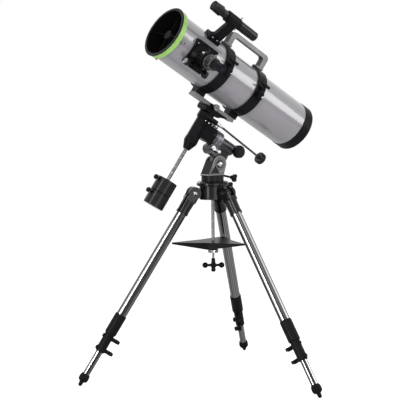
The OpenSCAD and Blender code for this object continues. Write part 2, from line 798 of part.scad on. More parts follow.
module dec_housing() {
  box_len = worm_box_front - worm_box_rear;
  panel = 2;
  color(iron) difference() {
    union() {
      on_dec() turned([
        [0, nose_end], [13, nose_end], [14, nose_end + 3], [dec_tube_r + 1, -62], [dec_tube_r + 1, -47],
        [dec_tube_r, -45], [dec_tube_r, 33], [dec_tube_r + 5, 40], [dec_tube_r + 5, dec_top - 5],
        [dec_tube_r + 3, dec_top], [0, dec_top],
      ]);
      on_ra() {
        translate([-block_half, -block_side, block_end]) cube([2 * block_half, 2 * block_side, -block_end]);
        translate([-block_half + 7, -block_side - panel, block_end + 7])
          cube([2 * block_half - 14, 2 * block_side + 2 * panel, -block_end - 14]);
        translate([0, 0, block_flange_end]) cylinder(r = block_half, h = 12);
        translate([worm_u - 9, -worm_t, worm_box_rear]) cube([18, worm_t, box_len]);
        translate([worm_u - 23, -block_side, worm_box_rear]) cube([15, block_side, box_len]);
        translate([worm_u, -worm_t, worm_box_rear]) cylinder(r = 9, h = box_len);
      }
    }
    on_dec() {
      translate([0, 0, dec_axle_end - clearance])
        cylinder(r = axle_r + fit, h = dec_top - dec_axle_end + 2 * over);
      translate([0, 0, nose_end - over])
        cylinder(r = shaft_r + fit, h = shaft_top + clearance - nose_end + over);
    }
    on_ra() {
      translate([0, 0, block_flange_end - over])
        cylinder(r = axle_r + fit, h = polar_axle_end + clearance - block_flange_end + over);
      translate([dec_clamp_u, -dec_clamp_t, worm_box_rear - over])
        cylinder(r = small_screw_r + fit, h = 20);
    }
    on_control() translate([0, 0, -30]) cylinder(r = small_screw_r + fit, h = 32);
  }
}

// Slow motion stalk and knob of the Dec axis
module dec_control() {
  stalk_r = 2.8;
  color(black) on_control() {
    translate([0, 0, -28]) cylinder(r = small_screw_r, h = 30);
    translate([0, 0, 3 * clearance]) turned([[0, 0], [6, 0], [6, 22], [4.5, 24], [4.5, 30], [0, 30]]);
    translate([0, 0, 25]) cylinder(r = stalk_r, h = control_len - 23);
    translate([0, 0, control_len - 8]) cylinder(r1 = 5, r2 = 9, h = 9);
    translate([0, 0, control_len]) lobed_knob(22.5, 22, 10);
    translate([0, 0, control_len + 21]) cylinder(r = 12, h = 4);
  }
}

// Thumbscrew that locks the Dec axis
module dec_clamp() {
  color(chrome) on_ra() translate([dec_clamp_u, -dec_clamp_t, worm_box_rear]) rotate([180, 0, 0]) {
    translate([0, 0, -18]) cylinder(r = small_screw_r, h = 22);
    translate([0, 0, clearance])
      turned([[0, 0], [4.8, 0], [4.8, 6], [5.5, 7], [5.5, 17], [4.5, 18], [0, 18]]);
  }
}

// Cross-section of the dovetail bar, grown by a clearance, with its top at 0
module dovetail_outline(grow) {
  polygon([
    [-dovetail_bottom_w / 2 - grow, -dovetail_t - grow], [dovetail_bottom_w / 2 + grow, -dovetail_t - grow],
    [dovetail_top_w / 2 + grow, grow], [-dovetail_top_w / 2 - grow, grow],
  ]);
}

// The saddle with its jaws and the Dec axle that turns in the housing
module saddle() {
  jaw_h = jaw_top_u - saddle_top_u;
  color(iron) on_ra() difference() {
    union() {
      translate([dec_axle_end, 0, 0]) rotate([0, 90, 0])
        cylinder(r = axle_r, h = saddle_bottom_u - dec_axle_end + over);
      translate([0, -saddle_half_w, 0]) along_tube() linear_extrude(2 * saddle_half_w) polygon([
        [-32, saddle_bottom_u], [32, saddle_bottom_u], [saddle_front, saddle_bottom_u + 8],
        [saddle_front, saddle_top_u], [saddle_rear, saddle_top_u], [saddle_rear, saddle_top_u - 5],
        [-45, saddle_bottom_u + 8],
      ]);
      translate([saddle_top_u - over, saddle_half_w - jaw_w, saddle_rear + 9])
        cube([jaw_h + over, jaw_w, saddle_front - saddle_rear - 11]);
      translate([saddle_top_u - over, -saddle_half_w, -18]) cube([jaw_h + over, jaw_w, 36]);
    }
    translate([tube_height + bar_top_h, 0, saddle_rear - over]) rotate([0, 0, -90])
      linear_extrude(saddle_front - saddle_rear + 2 * over) dovetail_outline(clearance);
    translate([saddle_screw_u, -dovetail_top_w / 2 + over, saddle_screw_s]) rotate([90, 0, 0])
      cylinder(r = small_screw_r + fit, h = saddle_half_w);
  }
}

// Screw that closes the saddle's jaw on the bar
module saddle_screw() {
  color(chrome) on_ra() translate([saddle_screw_u, 0, saddle_screw_s]) rotate([90, 0, 0]) {
    translate([0, 0, saddle_screw_tip])
      cylinder(r = small_screw_r, h = saddle_half_w - saddle_screw_tip + over);
    translate([0, 0, saddle_half_w + clearance])
      turned([[0, 0], [9, 0], [9, 4], [12, 5], [12, 17], [11, 18], [0, 18]]);
  }
}

// ---- Counterweights ----

module cw_shaft() {
  color(steel) on_dec() translate([0, 0, shaft_end]) cylinder(r = shaft_r, h = shaft_top - shaft_end);
}

// One counterweight, with its lower face at place on the Dec axis
module weight(place) {
  edge = 1.5;
  color(black) on_dec() translate([0, 0, place]) difference() {
    turned([
      [0, 0], [weight_r - edge, 0], [weight_r, edge], [weight_r, weight_len - edge],
      [weight_r - edge, weight_len], [0, weight_len],
    ]);
    translate([0, 0, -over]) cylinder(r = shaft_r + fit, h = weight_len + 2 * over);
    translate([0, 0, weight_len - weight_screw_drop]) rotate([0, -90, 0])
      cylinder(r = weight_screw_r + fit, h = weight_r + over);
  }
}

module weight_screw(place) {
  head = weight_r + 8;
  start = shaft_r + clearance;
  color(black) on_dec() translate([0, 0, place + weight_len - weight_screw_drop]) rotate([0, -90, 0]) {
    translate([0, 0, start]) cylinder(r = weight_screw_r, h = head - start + 2);
    translate([0, 0, head]) turned([[0, 0], [8, 0], [9.5, 2], [9.5, 7], [7, 10], [0, 11]]);
  }
}

module cw_upper() {
  weight(upper_weight_end);
}

module cw_lower() {
  weight(lower_weight_end);
}

module cw_screw_upper() {
  weight_screw(upper_weight_end);
}

module cw_screw_lower() {
  weight_screw(lower_weight_end);
}

// ---- Rings, bar and handle ----

module dovetail_bar() {
  color(grey) on_tube() translate([bar_top_h, 0, bar_rear]) rotate([0, 0, -90])
    linear_extrude(bar_front - bar_rear) dovetail_outline(0);
}

// Half of one tube ring, on side +1 (lid) or -1 (cradle), from its rear face
module half_ring(side) {
  intersection() {
    ring(ring_r, ring_in, ring_w);
    translate([side > 0 ? clearance / 2 : -2 * ring_r, -2 * ring_r, -over])
      cube([2 * ring_r - (side > 0 ? 0 : clearance / 2), 4 * ring_r, ring_w + 2 * over]);
  }
}

// A hinge knuckle with its web to the ring, on side +1 (lid) or -1 (cradle)
module knuckle(side, start, w) {
  translate([0, hinge_t, start]) cylinder(r = knuckle_r, h = w, $fn = 48);
  translate([side > 0 ? clearance / 2 : -knuckle_r, ring_in + 1, start])
    cube([knuckle_r - clearance / 2, hinge_t - ring_in - 1, w]);
}

module ring_cradle() {
  side_w = (ring_w - knuckle_w) / 2 - clearance;
  difference() {
    union() {
      difference() {
        union() {
          half_ring(-1);
          translate([-14, -lug_t, (ring_w - lug_w_ring) / 2])
            cube([14 - clearance / 2, lug_t - ring_in - 1, lug_w_ring]);
          translate([bar_top_h, -foot_half, 0]) cube([24, 2 * foot_half, ring_w]);
        }
        translate([0, hinge_t, side_w])
          cylinder(r = knuckle_r + clearance, h = ring_w - 2 * side_w, $fn = 48);
      }
      knuckle(-1, 0, side_w);
      knuckle(-1, ring_w - side_w, side_w);
    }
    translate([0, 0, -over]) cylinder(r = ring_in, h = ring_w + 2 * over);
    translate([-20, -ring_bolt_t, ring_w / 2]) rotate([0, 90, 0]) cylinder(r = 3.8, h = 30);
  }
  translate([0, hinge_t, 0]) cylinder(r = hinge_pin_r, h = ring_w);
}

module ring_lid() {
  side_w = (ring_w - knuckle_w) / 2 - clearance;
  difference() {
    union() {
      difference() {
        union() {
          half_ring(1);
          translate([clearance / 2, -lug_t, (ring_w - lug_w_ring) / 2])
            cube([12, lug_t - ring_in - 1, lug_w_ring]);
          translate([ring_in, -handle_half, (ring_w - handle_pad_w) / 2])
            cube([handle_foot_h - ring_in, 2 * handle_half, handle_pad_w]);
        }
        for (start = [-over, ring_w - side_w - clearance])
          translate([0, hinge_t, start])
            cylinder(r = knuckle_r + clearance, h = side_w + clearance + over, $fn = 48);
      }
      knuckle(1, side_w + clearance, ring_w - 2 * side_w - 2 * clearance);
    }
    translate([0, 0, -over]) cylinder(r = ring_in, h = ring_w + 2 * over);
    translate([0, hinge_t, -over]) cylinder(r = hinge_pin_r + fit, h = ring_w + 2 * over);
    translate([-over, -ring_bolt_t, ring_w / 2]) rotate([0, 90, 0]) cylinder(r = 3 + fit, h = 30);
  }
}

module rings_lower() {
  color(black) on_tube() for (centre = [ring_front, ring_rear])
    translate([0, 0, centre - ring_w / 2]) ring_cradle();
}

module rings_upper() {
  color(black) on_tube() for (centre = [ring_front, ring_rear])
    translate([0, 0, centre - ring_w / 2]) ring_lid();
}

// Two clamp screws, captive in the lids, with T heads
module ring_bolts() {
  color(black) on_tube() for (centre = [ring_front, ring_rear])
    translate([-13, -ring_bolt_t, centre]) rotate([0, 90, 0]) {
      cylinder(r = 3, h = 54);
      translate([0, 0, 36]) cylinder(r = 8, h = 8);
      translate([0, 0, 50]) block(11, 12, 11);
      translate([0, 0, 56]) rotate([0, 90, 0]) cylinder(r = 5.5, h = 40, center = true, $fn = 40);
    }
}

// A closed arch outline over the x axis with rounded top corners
module arch(x0, x1, top, r) {
  translate([x0, 0]) square([x1 - x0, top - r]);
  translate([x0 + r, 0]) square([x1 - x0 - 2 * r, top]);
  for (x = [x0 + r, x1 - r]) translate([x, top - r]) circle(r = r);
}

module carry_handle() {
  front = ring_front + 8;
  rear = ring_rear - 14;
  post_front = 20;
  post_rear = 20;
  foot_len = 34;
  color(iron) on_tube() {
    translate([0, -handle_half, 0]) along_tube() linear_extrude(2 * handle_half) difference() {
      arch(rear, front, handle_top, 17);
      arch(rear + post_rear, front - post_front, handle_top - handle_bar_t, 12);
      translate([rear - over, -over]) square([front - rear + 2 * over, handle_foot_h + over]);
    }
    for (centre = [ring_front, ring_rear])
      translate([handle_foot_h, -handle_half, centre - foot_len / 2])
        cube([handle_foot_t, 2 * handle_half, foot_len]);
  }
}

// ---- Optical tube ----

module main_tube() {
  color(tube_grey) on_tube() difference() {
    translate([0, 0, -tube_rear]) ring(tube_r, tube_r - tube_wall, tube_front + tube_rear);
    translate([0, 0, focuser_s]) rotate([0, 0, -focuser_droop]) rotate([90, 0, 0])
      cylinder(r = rack_face + over, h = tube_r + over);
  }
}

// Rolled front edge
module front_ring() {
  lip_r = tube_r + 8.3;
  color(black) on_tube() translate([0, 0, tube_front]) difference() {
    turned([[0, 0], [lip_r - 1, 0], [lip_r, 1], [lip_r, 2.5], [lip_r - 1.5, 4], [0, 4]]);
    translate([0, 0, -over]) cylinder(r = tube_r - tube_wall - 1, h = 4 + 2 * over);
  }
}

module green_ring() {
  width = 20;
  color(green) on_tube() translate([0, 0, tube_front - width]) ring(tube_r + 6, tube_r + fit, width);
}

// Four vanes, their hub and the slanted secondary mirror
module spider() {
  secondary_r = 22;
  holder_end = focuser_s + secondary_r + 10;
  color(black) on_tube() {
    translate([0, 0, vane_start]) for (turn = [45, 135])
      rotate([0, 0, turn]) block(2 * (tube_r - tube_wall - clearance), 1.2, vane_len);
    translate([0, 0, vane_start - 3]) cylinder(r = 17, h = vane_len + 6);
    translate([0, 0, holder_end - over]) cylinder(r = 4, h = vane_start - holder_end);
    difference() {
      translate([0, 0, focuser_s - secondary_r])
        cylinder(r = secondary_r, h = holder_end - focuser_s + secondary_r);
      // The mirror's face looks at the focuser and at the primary mirror.
      translate([0, 0, focuser_s]) rotate([0, 0, -focuser_droop]) rotate([45, 0, 0])
        translate([-50, -100, -100]) cube([100, 200, 100]);
    }
  }
}

module primary_mirror() {
  curve_r = 1500;
  back = -tube_rear + 13 + clearance;
  thick = 24;
  color(chrome) on_tube() difference() {
    translate([0, 0, back]) cylinder(r = mirror_r, h = thick);
    translate([0, 0, back + thick - 2 + curve_r]) sphere(r = curve_r, $fn = 360);
  }
}

module rear_cap() {
  r = tube_r + 1.5;
  color(black) on_tube() rotate([180, 0, 0]) translate([0, 0, tube_rear]) turned([
    [0, -13], [tube_r - tube_wall - clearance, -13], [tube_r - tube_wall - clearance, 0], [r, 0],
    [r, cap_len - 6], [r - 2, cap_len - 2], [r - 6, cap_len], [0, cap_len],
  ]);
}

// ---- Focuser ----

module focuser_base() {
  color(black) on_focuser() difference() {
    union() {
      linear_extrude(base_top) polygon([
        [-50, -46], [-46, -50], [46, -50], [50, -46], [50, 46], [46, 50], [-46, 50], [-50, 46],
      ]);
      translate([0, 0, base_top - over]) cylinder(r1 = 45, r2 = collar_r, h = collar_base - base_top + over);
      translate([0, 0, collar_base - over])
        cylinder(r1 = collar_r, r2 = collar_r - 3, h = collar_top - collar_base - 8 + over);
      // The ridge that the rack runs in
      translate([-rack_face - 3, -7.5, base_top]) cube([20, 15, collar_top - 9 - base_top]);
      translate([0, 0, collar_top - 9]) cylinder(r = collar_r - 1, h = 9);
      translate([-pinion_offset - pinion_r - 2, pinion_shift - 20, base_top - over])
        cube([pinion_offset, 40, pinion_z + pinion_r + 4 - base_top]);
    }
    rotate([90, 0, 0]) cylinder(r = tube_r + clearance, h = 200, center = true);
    cylinder(r = drawtube_r + clearance, h = collar_top + over);
    translate([-rack_face - 0.6, -4.5, 0]) cube([20, 9, collar_top + over]);
    translate([-pinion_offset, 0, pinion_z]) rotate([90, 0, 0])
      cylinder(r = pinion_r + 0.5, h = 16, center = true);
    translate([-pinion_offset, pinion_shift, pinion_z]) rotate([90, 0, 0])
      cylinder(r = pinion_shaft_r + fit, h = 80, center = true);
  }
}

// Drawtube with its rack and the eyepiece holder
module drawtube() {
  start = tube_r - 17;
  holder = collar_top + clearance;
  holder_h = adapter_top - holder;
  color(black) on_focuser() difference() {
    union() {
      translate([0, 0, start]) cylinder(r = drawtube_r, h = holder - start + over);
      translate([0, 0, holder]) turned([
        [0, 0], [drawtube_r + 3, 0], [drawtube_r + 3, 5], [drawtube_r - 1, 7],
        [drawtube_r - 1, holder_h - 9], [drawtube_r - 3, holder_h], [0, holder_h],
      ]);
      translate([-rack_face, -4, start + 4]) cube([rack_face - 20, 8, collar_top - start - 10]);
    }
    translate([0, 0, start - over]) cylinder(r = drawtube_r - 3, h = adapter_top - start - 24);
    translate([0, 0, start]) cylinder(r = 16, h = adapter_top);
  }
}

module focus_knobs() {
  color(iron) on_focuser() translate([-pinion_offset, pinion_shift, pinion_z]) rotate([90, 0, 0]) {
    cylinder(r = pinion_shaft_r, h = 2 * knob_out - 8, center = true);
    translate([0, 0, pinion_shift]) cylinder(r = pinion_r, h = 14, center = true);
    for (side = [0, 180]) rotate([side, 0, 0]) translate([0, 0, knob_out - 17]) {
      turned([
        [0, 0], [focus_knob_r - 1, 0], [focus_knob_r, 1], [focus_knob_r, 13], [focus_knob_r - 1, 14], [0, 14],
      ]);
      cylinder(r = focus_knob_r - 3, h = 16);
    }
  }
}

module eyepiece() {
  h = eyepiece_end - adapter_top;
  barrel = 26;
  color(black) on_focuser() translate([0, 0, adapter_top]) turned([
    [0, -barrel], [15.9, -barrel], [15.9, clearance], [18.5, clearance], [18.5, 8], [17, 10], [17, h - 14],
    [16, h - 12], [16, h - 2], [14, h], [9, h], [7, h - 4], [0, h - 4],
  ]);
}

// ---- Finder ----

module finder_bracket() {
  base_h = tube_r + 12;
  color(black) on_finder() difference() {
    union() {
      translate([tube_r - 6, -22, sleeve_rear]) cube([base_h - tube_r + 6, 44, 57]);
      translate([0, -9, 0]) along_tube() linear_extrude(18) polygon([
        [sleeve_rear, base_h - over], [sleeve_rear + 55, base_h - over], [sleeve_rear + 38, base_h + 12],
        [sleeve_rear + 36, finder_r - 10], [sleeve_rear, finder_r - 10],
      ]);
      translate([finder_r, 0, sleeve_rear]) cylinder(r = sleeve_r, h = sleeve_front - sleeve_rear);
    }
    translate([0, 0, sleeve_rear - over]) cylinder(r = tube_r + clearance, h = 80);
    translate([finder_r, 0, sleeve_rear - over])
      cylinder(r = finder_body_r + clearance, h = sleeve_front - sleeve_rear + 2 * over);
  }
}

module finder_tube() {
  r = finder_body_r;
  color(black) on_finder() translate([finder_r, 0, 0]) difference() {
    turned([
      [0, finder_rear], [r - 4, finder_rear], [r, finder_rear + 1], [r + 2, finder_rear + 4],
      [r + 2.5, finder_rear + 30], [r + 2.5, sleeve_rear - 4], [r, sleeve_rear - 2], [r, sleeve_front + 24],
      [r + 4.5, sleeve_front + 30], [r + 3, finder_front - 8], [r + 3, finder_front], [0, finder_front],
    ]);
    translate([0, 0, finder_front - 14]) cylinder(r = r + 1, h = 14 + over);
    translate([0, 0, finder_rear - over]) cylinder(r = r - 7, h = 4 + over);
  }
}

tripod_hub();
leg_bolts();
leg_socket(0);  // leg_socket_a
leg_socket(1);  // leg_socket_b
leg_socket(2);  // leg_socket_c
leg_tube(0);  // leg_tube_a
leg_tube(1);  // leg_tube_b
leg_tube(2);  // leg_tube_c
leg_clamp(0);  // leg_clamp_a
leg_clamp(1);  // leg_clamp_b
leg_clamp(2);  // leg_clamp_c
leg_knobs(0);  // leg_knobs_a
leg_knobs(1);  // leg_knobs_b
leg_knobs(2);  // leg_knobs_c
leg_inner(0);  // leg_inner_a
leg_inner(1);  // leg_inner_b
leg_inner(2);  // leg_inner_c
leg_foot(0);  // leg_foot_a
leg_foot(1);  // leg_foot_b
leg_foot(2);  // leg_foot_c
spreader_rod();
spreader_tray();
tray_nut();
tray_handle();
mount_base();
azimuth_knob();
latitude_knob();
latitude_bolt();
ra_housing();
ra_circle();
ra_knob();
ra_clamp();
dec_housing();
polar_axle();
saddle();
dec_control();
dec_clamp();
saddle_screw();
cw_shaft();
cw_upper();
cw_lower();
cw_screw_upper();
cw_screw_lower();
dovetail_bar();
rings_lower();
rings_upper();
ring_bolts();
carry_handle();
main_tube();
front_ring();
green_ring();
spider();
primary_mirror();
rear_cap();
focuser_base();
drawtube();
focus_knobs();
eyepiece();
finder_bracket();
finder_tube();
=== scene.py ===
"""The looks of a reflector telescope on its equatorial mount and steel tripod.

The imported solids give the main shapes. This script dresses them piece by piece, from the tripod's
legs up to the finder, and adds the small fittings that sit on them.
"""

import json
import math

import bpy
from mathutils import Matrix, Vector


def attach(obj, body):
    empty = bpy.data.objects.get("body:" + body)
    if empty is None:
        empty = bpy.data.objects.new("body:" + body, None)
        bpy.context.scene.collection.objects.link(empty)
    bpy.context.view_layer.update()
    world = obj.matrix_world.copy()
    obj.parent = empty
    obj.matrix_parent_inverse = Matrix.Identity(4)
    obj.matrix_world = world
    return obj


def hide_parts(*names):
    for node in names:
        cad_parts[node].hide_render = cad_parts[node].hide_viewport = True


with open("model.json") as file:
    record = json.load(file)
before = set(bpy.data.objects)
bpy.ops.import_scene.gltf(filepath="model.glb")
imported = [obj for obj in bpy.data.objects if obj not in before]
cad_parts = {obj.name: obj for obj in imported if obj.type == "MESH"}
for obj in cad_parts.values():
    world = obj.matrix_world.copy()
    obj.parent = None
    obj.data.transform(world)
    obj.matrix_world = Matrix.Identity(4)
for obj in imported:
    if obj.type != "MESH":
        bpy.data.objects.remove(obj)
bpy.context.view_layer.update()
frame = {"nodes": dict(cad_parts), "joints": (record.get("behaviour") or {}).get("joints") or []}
bpy.ops.object.select_all(action="DESELECT")
scene = bpy.context.scene


# ---- Camera -------------------------------------------------------------------------------------
# A long lens at about the height of the mount. It stands more than four metres off, so the far leg is
# only a little smaller than the near ones. Its place, turn and lens come from a fit.
camera_right = Vector((0.7956, -0.6057, -0.0106))
camera_back = Vector((-0.6032, -0.7937, 0.0790)).normalized()
camera_up = camera_back.cross(camera_right).normalized()
camera_right = camera_up.cross(camera_back).normalized()
camera_place = Vector((-2.8619, -3.6311, 1.0488))
camera_lens = bpy.data.cameras.new("view")
camera_lens.sensor_width = 36.0
camera_lens.lens = 113.26
camera_lens.shift_x = -0.0016
camera_lens.shift_y = -0.0008
camera_lens.clip_end = 50.0
camera = bpy.data.objects.new("view", camera_lens)
scene.collection.objects.link(camera)
camera.matrix_world = Matrix((
    (camera_right.x, camera_up.x, camera_back.x, camera_place.x),
    (camera_right.y, camera_up.y, camera_back.y, camera_place.y),
    (camera_right.z, camera_up.z, camera_back.z, camera_place.z),
    (0.0, 0.0, 0.0, 1.0),
))
scene.camera = camera
scene.view_settings.view_transform = "Standard"


# ---- Studio -------------------------------------------------------------------------------------
# White sweep with an even sky. Camera, glossy and transmission rays see plain white, and the
# light that falls on the object comes from the sky and five soft boxes.
def lamp(name, place, aim, size, power):
    light = bpy.data.lights.new(name, "AREA")
    light.shape = "RECTANGLE"
    light.size = size[0]
    light.size_y = size[1]
    light.energy = power
    holder = bpy.data.objects.new(name, light)
    scene.collection.objects.link(holder)
    turn = (Vector(place) - Vector(aim)).to_track_quat("Z", "Y")
    holder.matrix_world = Matrix.Translation(place) @ turn.to_matrix().to_4x4()


def white_to_viewer(tree, lit, output, strength):
    """Shows plain white to camera, glossy and transmission rays, and lit to all others."""
    rays = tree.nodes.new("ShaderNodeLightPath")
    seen = tree.nodes.new("ShaderNodeMath")
    seen.operation = "MAXIMUM"
    seen_all = tree.nodes.new("ShaderNodeMath")
    seen_all.operation = "MAXIMUM"
    tree.links.new(rays.outputs["Is Camera Ray"], seen.inputs[0])
    tree.links.new(rays.outputs["Is Glossy Ray"], seen.inputs[1])
    tree.links.new(seen.outputs[0], seen_all.inputs[0])
    tree.links.new(rays.outputs["Is Transmission Ray"], seen_all.inputs[1])
    plain = tree.nodes.new("ShaderNodeBackground")
    plain.inputs["Color"].default_value = (1.0, 1.0, 1.0, 1.0)
    plain.inputs["Strength"].default_value = strength
    choice = tree.nodes.new("ShaderNodeMixShader")
    tree.links.new(seen_all.outputs[0], choice.inputs[0])
    tree.links.new(lit, choice.inputs[1])
    tree.links.new(plain.outputs[0], choice.inputs[2])
    tree.links.new(choice.outputs[0], output)


sky = bpy.data.worlds.new("sky")
scene.world = sky
sky.use_nodes = True
sky_tree = sky.node_tree
sky_tree.nodes.clear()
sky_light = sky_tree.nodes.new("ShaderNodeBackground")
sky_light.inputs["Color"].default_value = (1.0, 1.0, 1.0, 1.0)
sky_light.inputs["Strength"].default_value = 0.42
sky_output = sky_tree.nodes.new("ShaderNodeOutputWorld")
white_to_viewer(sky_tree, sky_light.outputs[0], sky_output.inputs["Surface"], 1.0)

lamp("tube_box", (1.82, -1.87, 1.23), (0.07, 0.05, 1.13), (1.2, 1.2), 15.0)
lamp("left_strip", (-2.9, -0.5, 1.3), (0.0, 0.0, 0.8), (0.3, 2.2), 34.0)
lamp("key_box", (-1.6, -2.6, 3.2), (0.0, 0.0, 0.9), (1.0, 1.0), 34.0)
lamp("low_box", (-0.6, -3.2, 0.25), (0.0, 0.0, 1.1), (2.0, 0.5), 12.0)
lamp("back_box", (0.5, 3.2, 2.4), (0.0, 0.0, 0.9), (2.0, 1.0), 20.0)

floor_reach = 14.0
floor_corners = [
    (-floor_reach, -floor_reach, 0), (floor_reach, -floor_reach, 0),
    (floor_reach, floor_reach, 0), (-floor_reach, floor_reach, 0),
]
floor_mesh = bpy.data.meshes.new("floor")
floor_mesh.from_pydata(floor_corners, [], [(0, 1, 2, 3)])
floor = bpy.data.objects.new("floor", floor_mesh)
scene.collection.objects.link(floor)
floor_paint = bpy.data.materials.new("floor")
floor_paint.use_nodes = True
floor_tree = floor_paint.node_tree
floor_tree.nodes.clear()
floor_matte = floor_tree.nodes.new("ShaderNodeBsdfDiffuse")
floor_matte.inputs["Color"].default_value = (0.9, 0.9, 0.9, 1.0)
floor_output = floor_tree.nodes.new("ShaderNodeOutputMaterial")
floor_glow = floor_tree.nodes.new("ShaderNodeEmission")
floor_glow.inputs["Strength"].default_value = 0.66
floor_rays = floor_tree.nodes.new("ShaderNodeLightPath")
floor_sum = floor_tree.nodes.new("ShaderNodeAddShader")
floor_choice = floor_tree.nodes.new("ShaderNodeMixShader")
floor_tree.links.new(floor_matte.outputs[0], floor_sum.inputs[0])
floor_tree.links.new(floor_glow.outputs[0], floor_sum.inputs[1])
floor_tree.links.new(floor_rays.outputs["Is Camera Ray"], floor_choice.inputs[0])
floor_tree.links.new(floor_matte.outputs[0], floor_choice.inputs[1])
floor_tree.links.new(floor_sum.outputs[0], floor_choice.inputs[2])
floor_tree.links.new(floor_choice.outputs[0], floor_output.inputs["Surface"])
floor_mesh.materials.append(floor_paint)


# ---- Tripod legs --------------------------------------------------------------------------------
# Polished steel tubes, drawn lengthwise, so their streaks run down the leg. The outer tube is held
# in a black clevis casting, and the thinner extension slides inside it through a moulded clamp.
def new_material(name):
    material = bpy.data.materials.new(name)
    material.use_nodes = True
    shader = material.node_tree.nodes["Principled BSDF"]
    return material, material.node_tree, shader


def dress(node, material):
    piece = frame["nodes"][node]
    piece.data.materials.clear()
    piece.data.materials.append(material)


def object_pattern(tree):
    return tree.nodes.new("ShaderNodeTexCoord").outputs["Object"]


def along_axis(tree, point, direction):
    """Object coordinates moved and turned, so that z runs along direction through point."""
    moved = tree.nodes.new("ShaderNodeVectorMath")
    moved.operation = "SUBTRACT"
    moved.inputs[1].default_value = point
    tree.links.new(object_pattern(tree), moved.inputs[0])
    turned = tree.nodes.new("ShaderNodeMapping")
    turned.inputs["Rotation"].default_value = turn_onto_z(direction)
    tree.links.new(moved.outputs["Vector"], turned.inputs["Vector"])
    return turned.outputs["Vector"]


def stretched(tree, vector, scale):
    mapping = tree.nodes.new("ShaderNodeMapping")
    mapping.inputs["Scale"].default_value = scale
    tree.links.new(vector, mapping.inputs["Vector"])
    return mapping.outputs["Vector"]


def around(tree, vector):
    """The turn around z as a 0 to 1 value."""
    texture = tree.nodes.new("ShaderNodeTexGradient")
    texture.gradient_type = "RADIAL"
    tree.links.new(vector, texture.inputs["Vector"])
    return texture.outputs["Fac"]


def noise(tree, vector, scale, detail=3.0, roughness=0.55):
    texture = tree.nodes.new("ShaderNodeTexNoise")
    texture.inputs["Scale"].default_value = scale
    texture.inputs["Detail"].default_value = detail
    texture.inputs["Roughness"].default_value = roughness
    tree.links.new(vector, texture.inputs["Vector"])
    return texture.outputs["Fac"]


def ramp(tree, value, stops):
    """A colour ramp from (position, colour) stops; a single number is a grey."""
    node = tree.nodes.new("ShaderNodeValToRGB")
    tree.links.new(value, node.inputs["Fac"])
    elements = node.color_ramp.elements
    while len(elements) < len(stops):
        elements.new(0.5)
    for element, (position, colour) in zip(elements, stops):
        if not isinstance(colour, tuple):
            colour = (colour, colour, colour)
        element.position = position
        element.color = (*colour, 1.0)
    return node.outputs["Color"]


def span(tree, value, low, high):
    """Maps a 0 to 1 value onto low to high."""
    node = tree.nodes.new("ShaderNodeMapRange")
    node.inputs["To Min"].default_value = low
    node.inputs["To Max"].default_value = high
    tree.links.new(value, node.inputs["Value"])
    return node.outputs["Result"]


def bump(tree, shader, height, strength, distance):
    node = tree.nodes.new("ShaderNodeBump")
    node.inputs["Strength"].default_value = strength
    node.inputs["Distance"].default_value = distance
    tree.links.new(height, node.inputs["Height"])
    tree.links.new(node.outputs["Normal"], shader.inputs["Normal"])


def turn_onto_z(direction):
    """The Mapping rotation that brings direction onto z."""
    return Vector(direction).rotation_difference(Vector((0, 0, 1))).to_euler()


def steel_with_painted_reflections(name, point, along, stops, shift):
    """Steel with painted reflections: light and dark stripes along the tube, each a (turn, grey)
    stop.
    """
    material, tree, shader = new_material(name)
    axis = along_axis(tree, point, along)
    turned = tree.nodes.new("ShaderNodeMath")
    turned.operation = "ADD"
    turned.inputs[1].default_value = shift
    tree.links.new(around(tree, axis), turned.inputs[0])
    wobble = noise(tree, stretched(tree, axis, (60.0, 60.0, 1.5)), 1.0, detail=2.0)
    moved = tree.nodes.new("ShaderNodeMath")
    moved.operation = "MULTIPLY_ADD"
    moved.inputs[1].default_value = 0.03
    tree.links.new(wobble, moved.inputs[0])
    tree.links.new(turned.outputs[0], moved.inputs[2])
    wrapped = tree.nodes.new("ShaderNodeMath")
    wrapped.operation = "FRACT"
    tree.links.new(moved.outputs[0], wrapped.inputs[0])
    tree.links.new(ramp(tree, wrapped.outputs[0], stops), shader.inputs["Base Color"])
    scratches = noise(tree, stretched(tree, axis, (2500.0, 2500.0, 18.0)), 1.0, detail=2.0)
    tree.links.new(span(tree, scratches, 0.16, 0.34), shader.inputs["Roughness"])
    shader.inputs["Metallic"].default_value = 1.0
    bump(tree, shader, scratches, 0.05, 0.0002)
    return material


joints = {joint["name"]: joint for joint in frame["joints"]}
leg_names = ("a", "b", "c")

# These stripes are painted, and stand for what a polished tube mirrors. Each stop is a place around
# the tube, as a share of a whole turn, and a grey. Left, right and back are as the camera sees them.
left_stripes = [
    (0.0, 0.30), (0.06, 0.06), (0.14, 0.80), (0.20, 0.10), (0.27, 0.09), (0.36, 0.12), (0.40, 0.22),
    (0.44, 0.09), (0.46, 0.03), (0.54, 0.035), (0.57, 0.7), (0.59, 0.8), (0.62, 0.18),
    (0.66, 0.15), (0.69, 0.07), (0.74, 0.3), (0.84, 0.06), (0.90, 0.75), (1.0, 0.30),
]
right_stripes = [
    (0.0, 0.30), (0.08, 0.06), (0.16, 0.80), (0.24, 0.05), (0.33, 0.12), (0.36, 0.22), (0.39, 0.7),
    (0.41, 0.7), (0.44, 0.12), (0.47, 0.04), (0.54, 0.035), (0.57, 0.75), (0.59, 0.7), (0.62, 0.08),
    (0.68, 0.05), (0.74, 0.3), (0.80, 0.60), (0.88, 0.06), (0.94, 0.75), (1.0, 0.30),
]
back_stripes = [
    (0.0, 0.30), (0.10, 0.06), (0.20, 0.70), (0.30, 0.08), (0.38, 0.34), (0.41, 0.10), (0.44, 0.32),
    (0.47, 0.09), (0.50, 0.36), (0.53, 0.10), (0.56, 0.30), (0.59, 0.08), (0.66, 0.26), (0.74, 0.10),
    (0.84, 0.06), (0.92, 0.75), (1.0, 0.30),
]
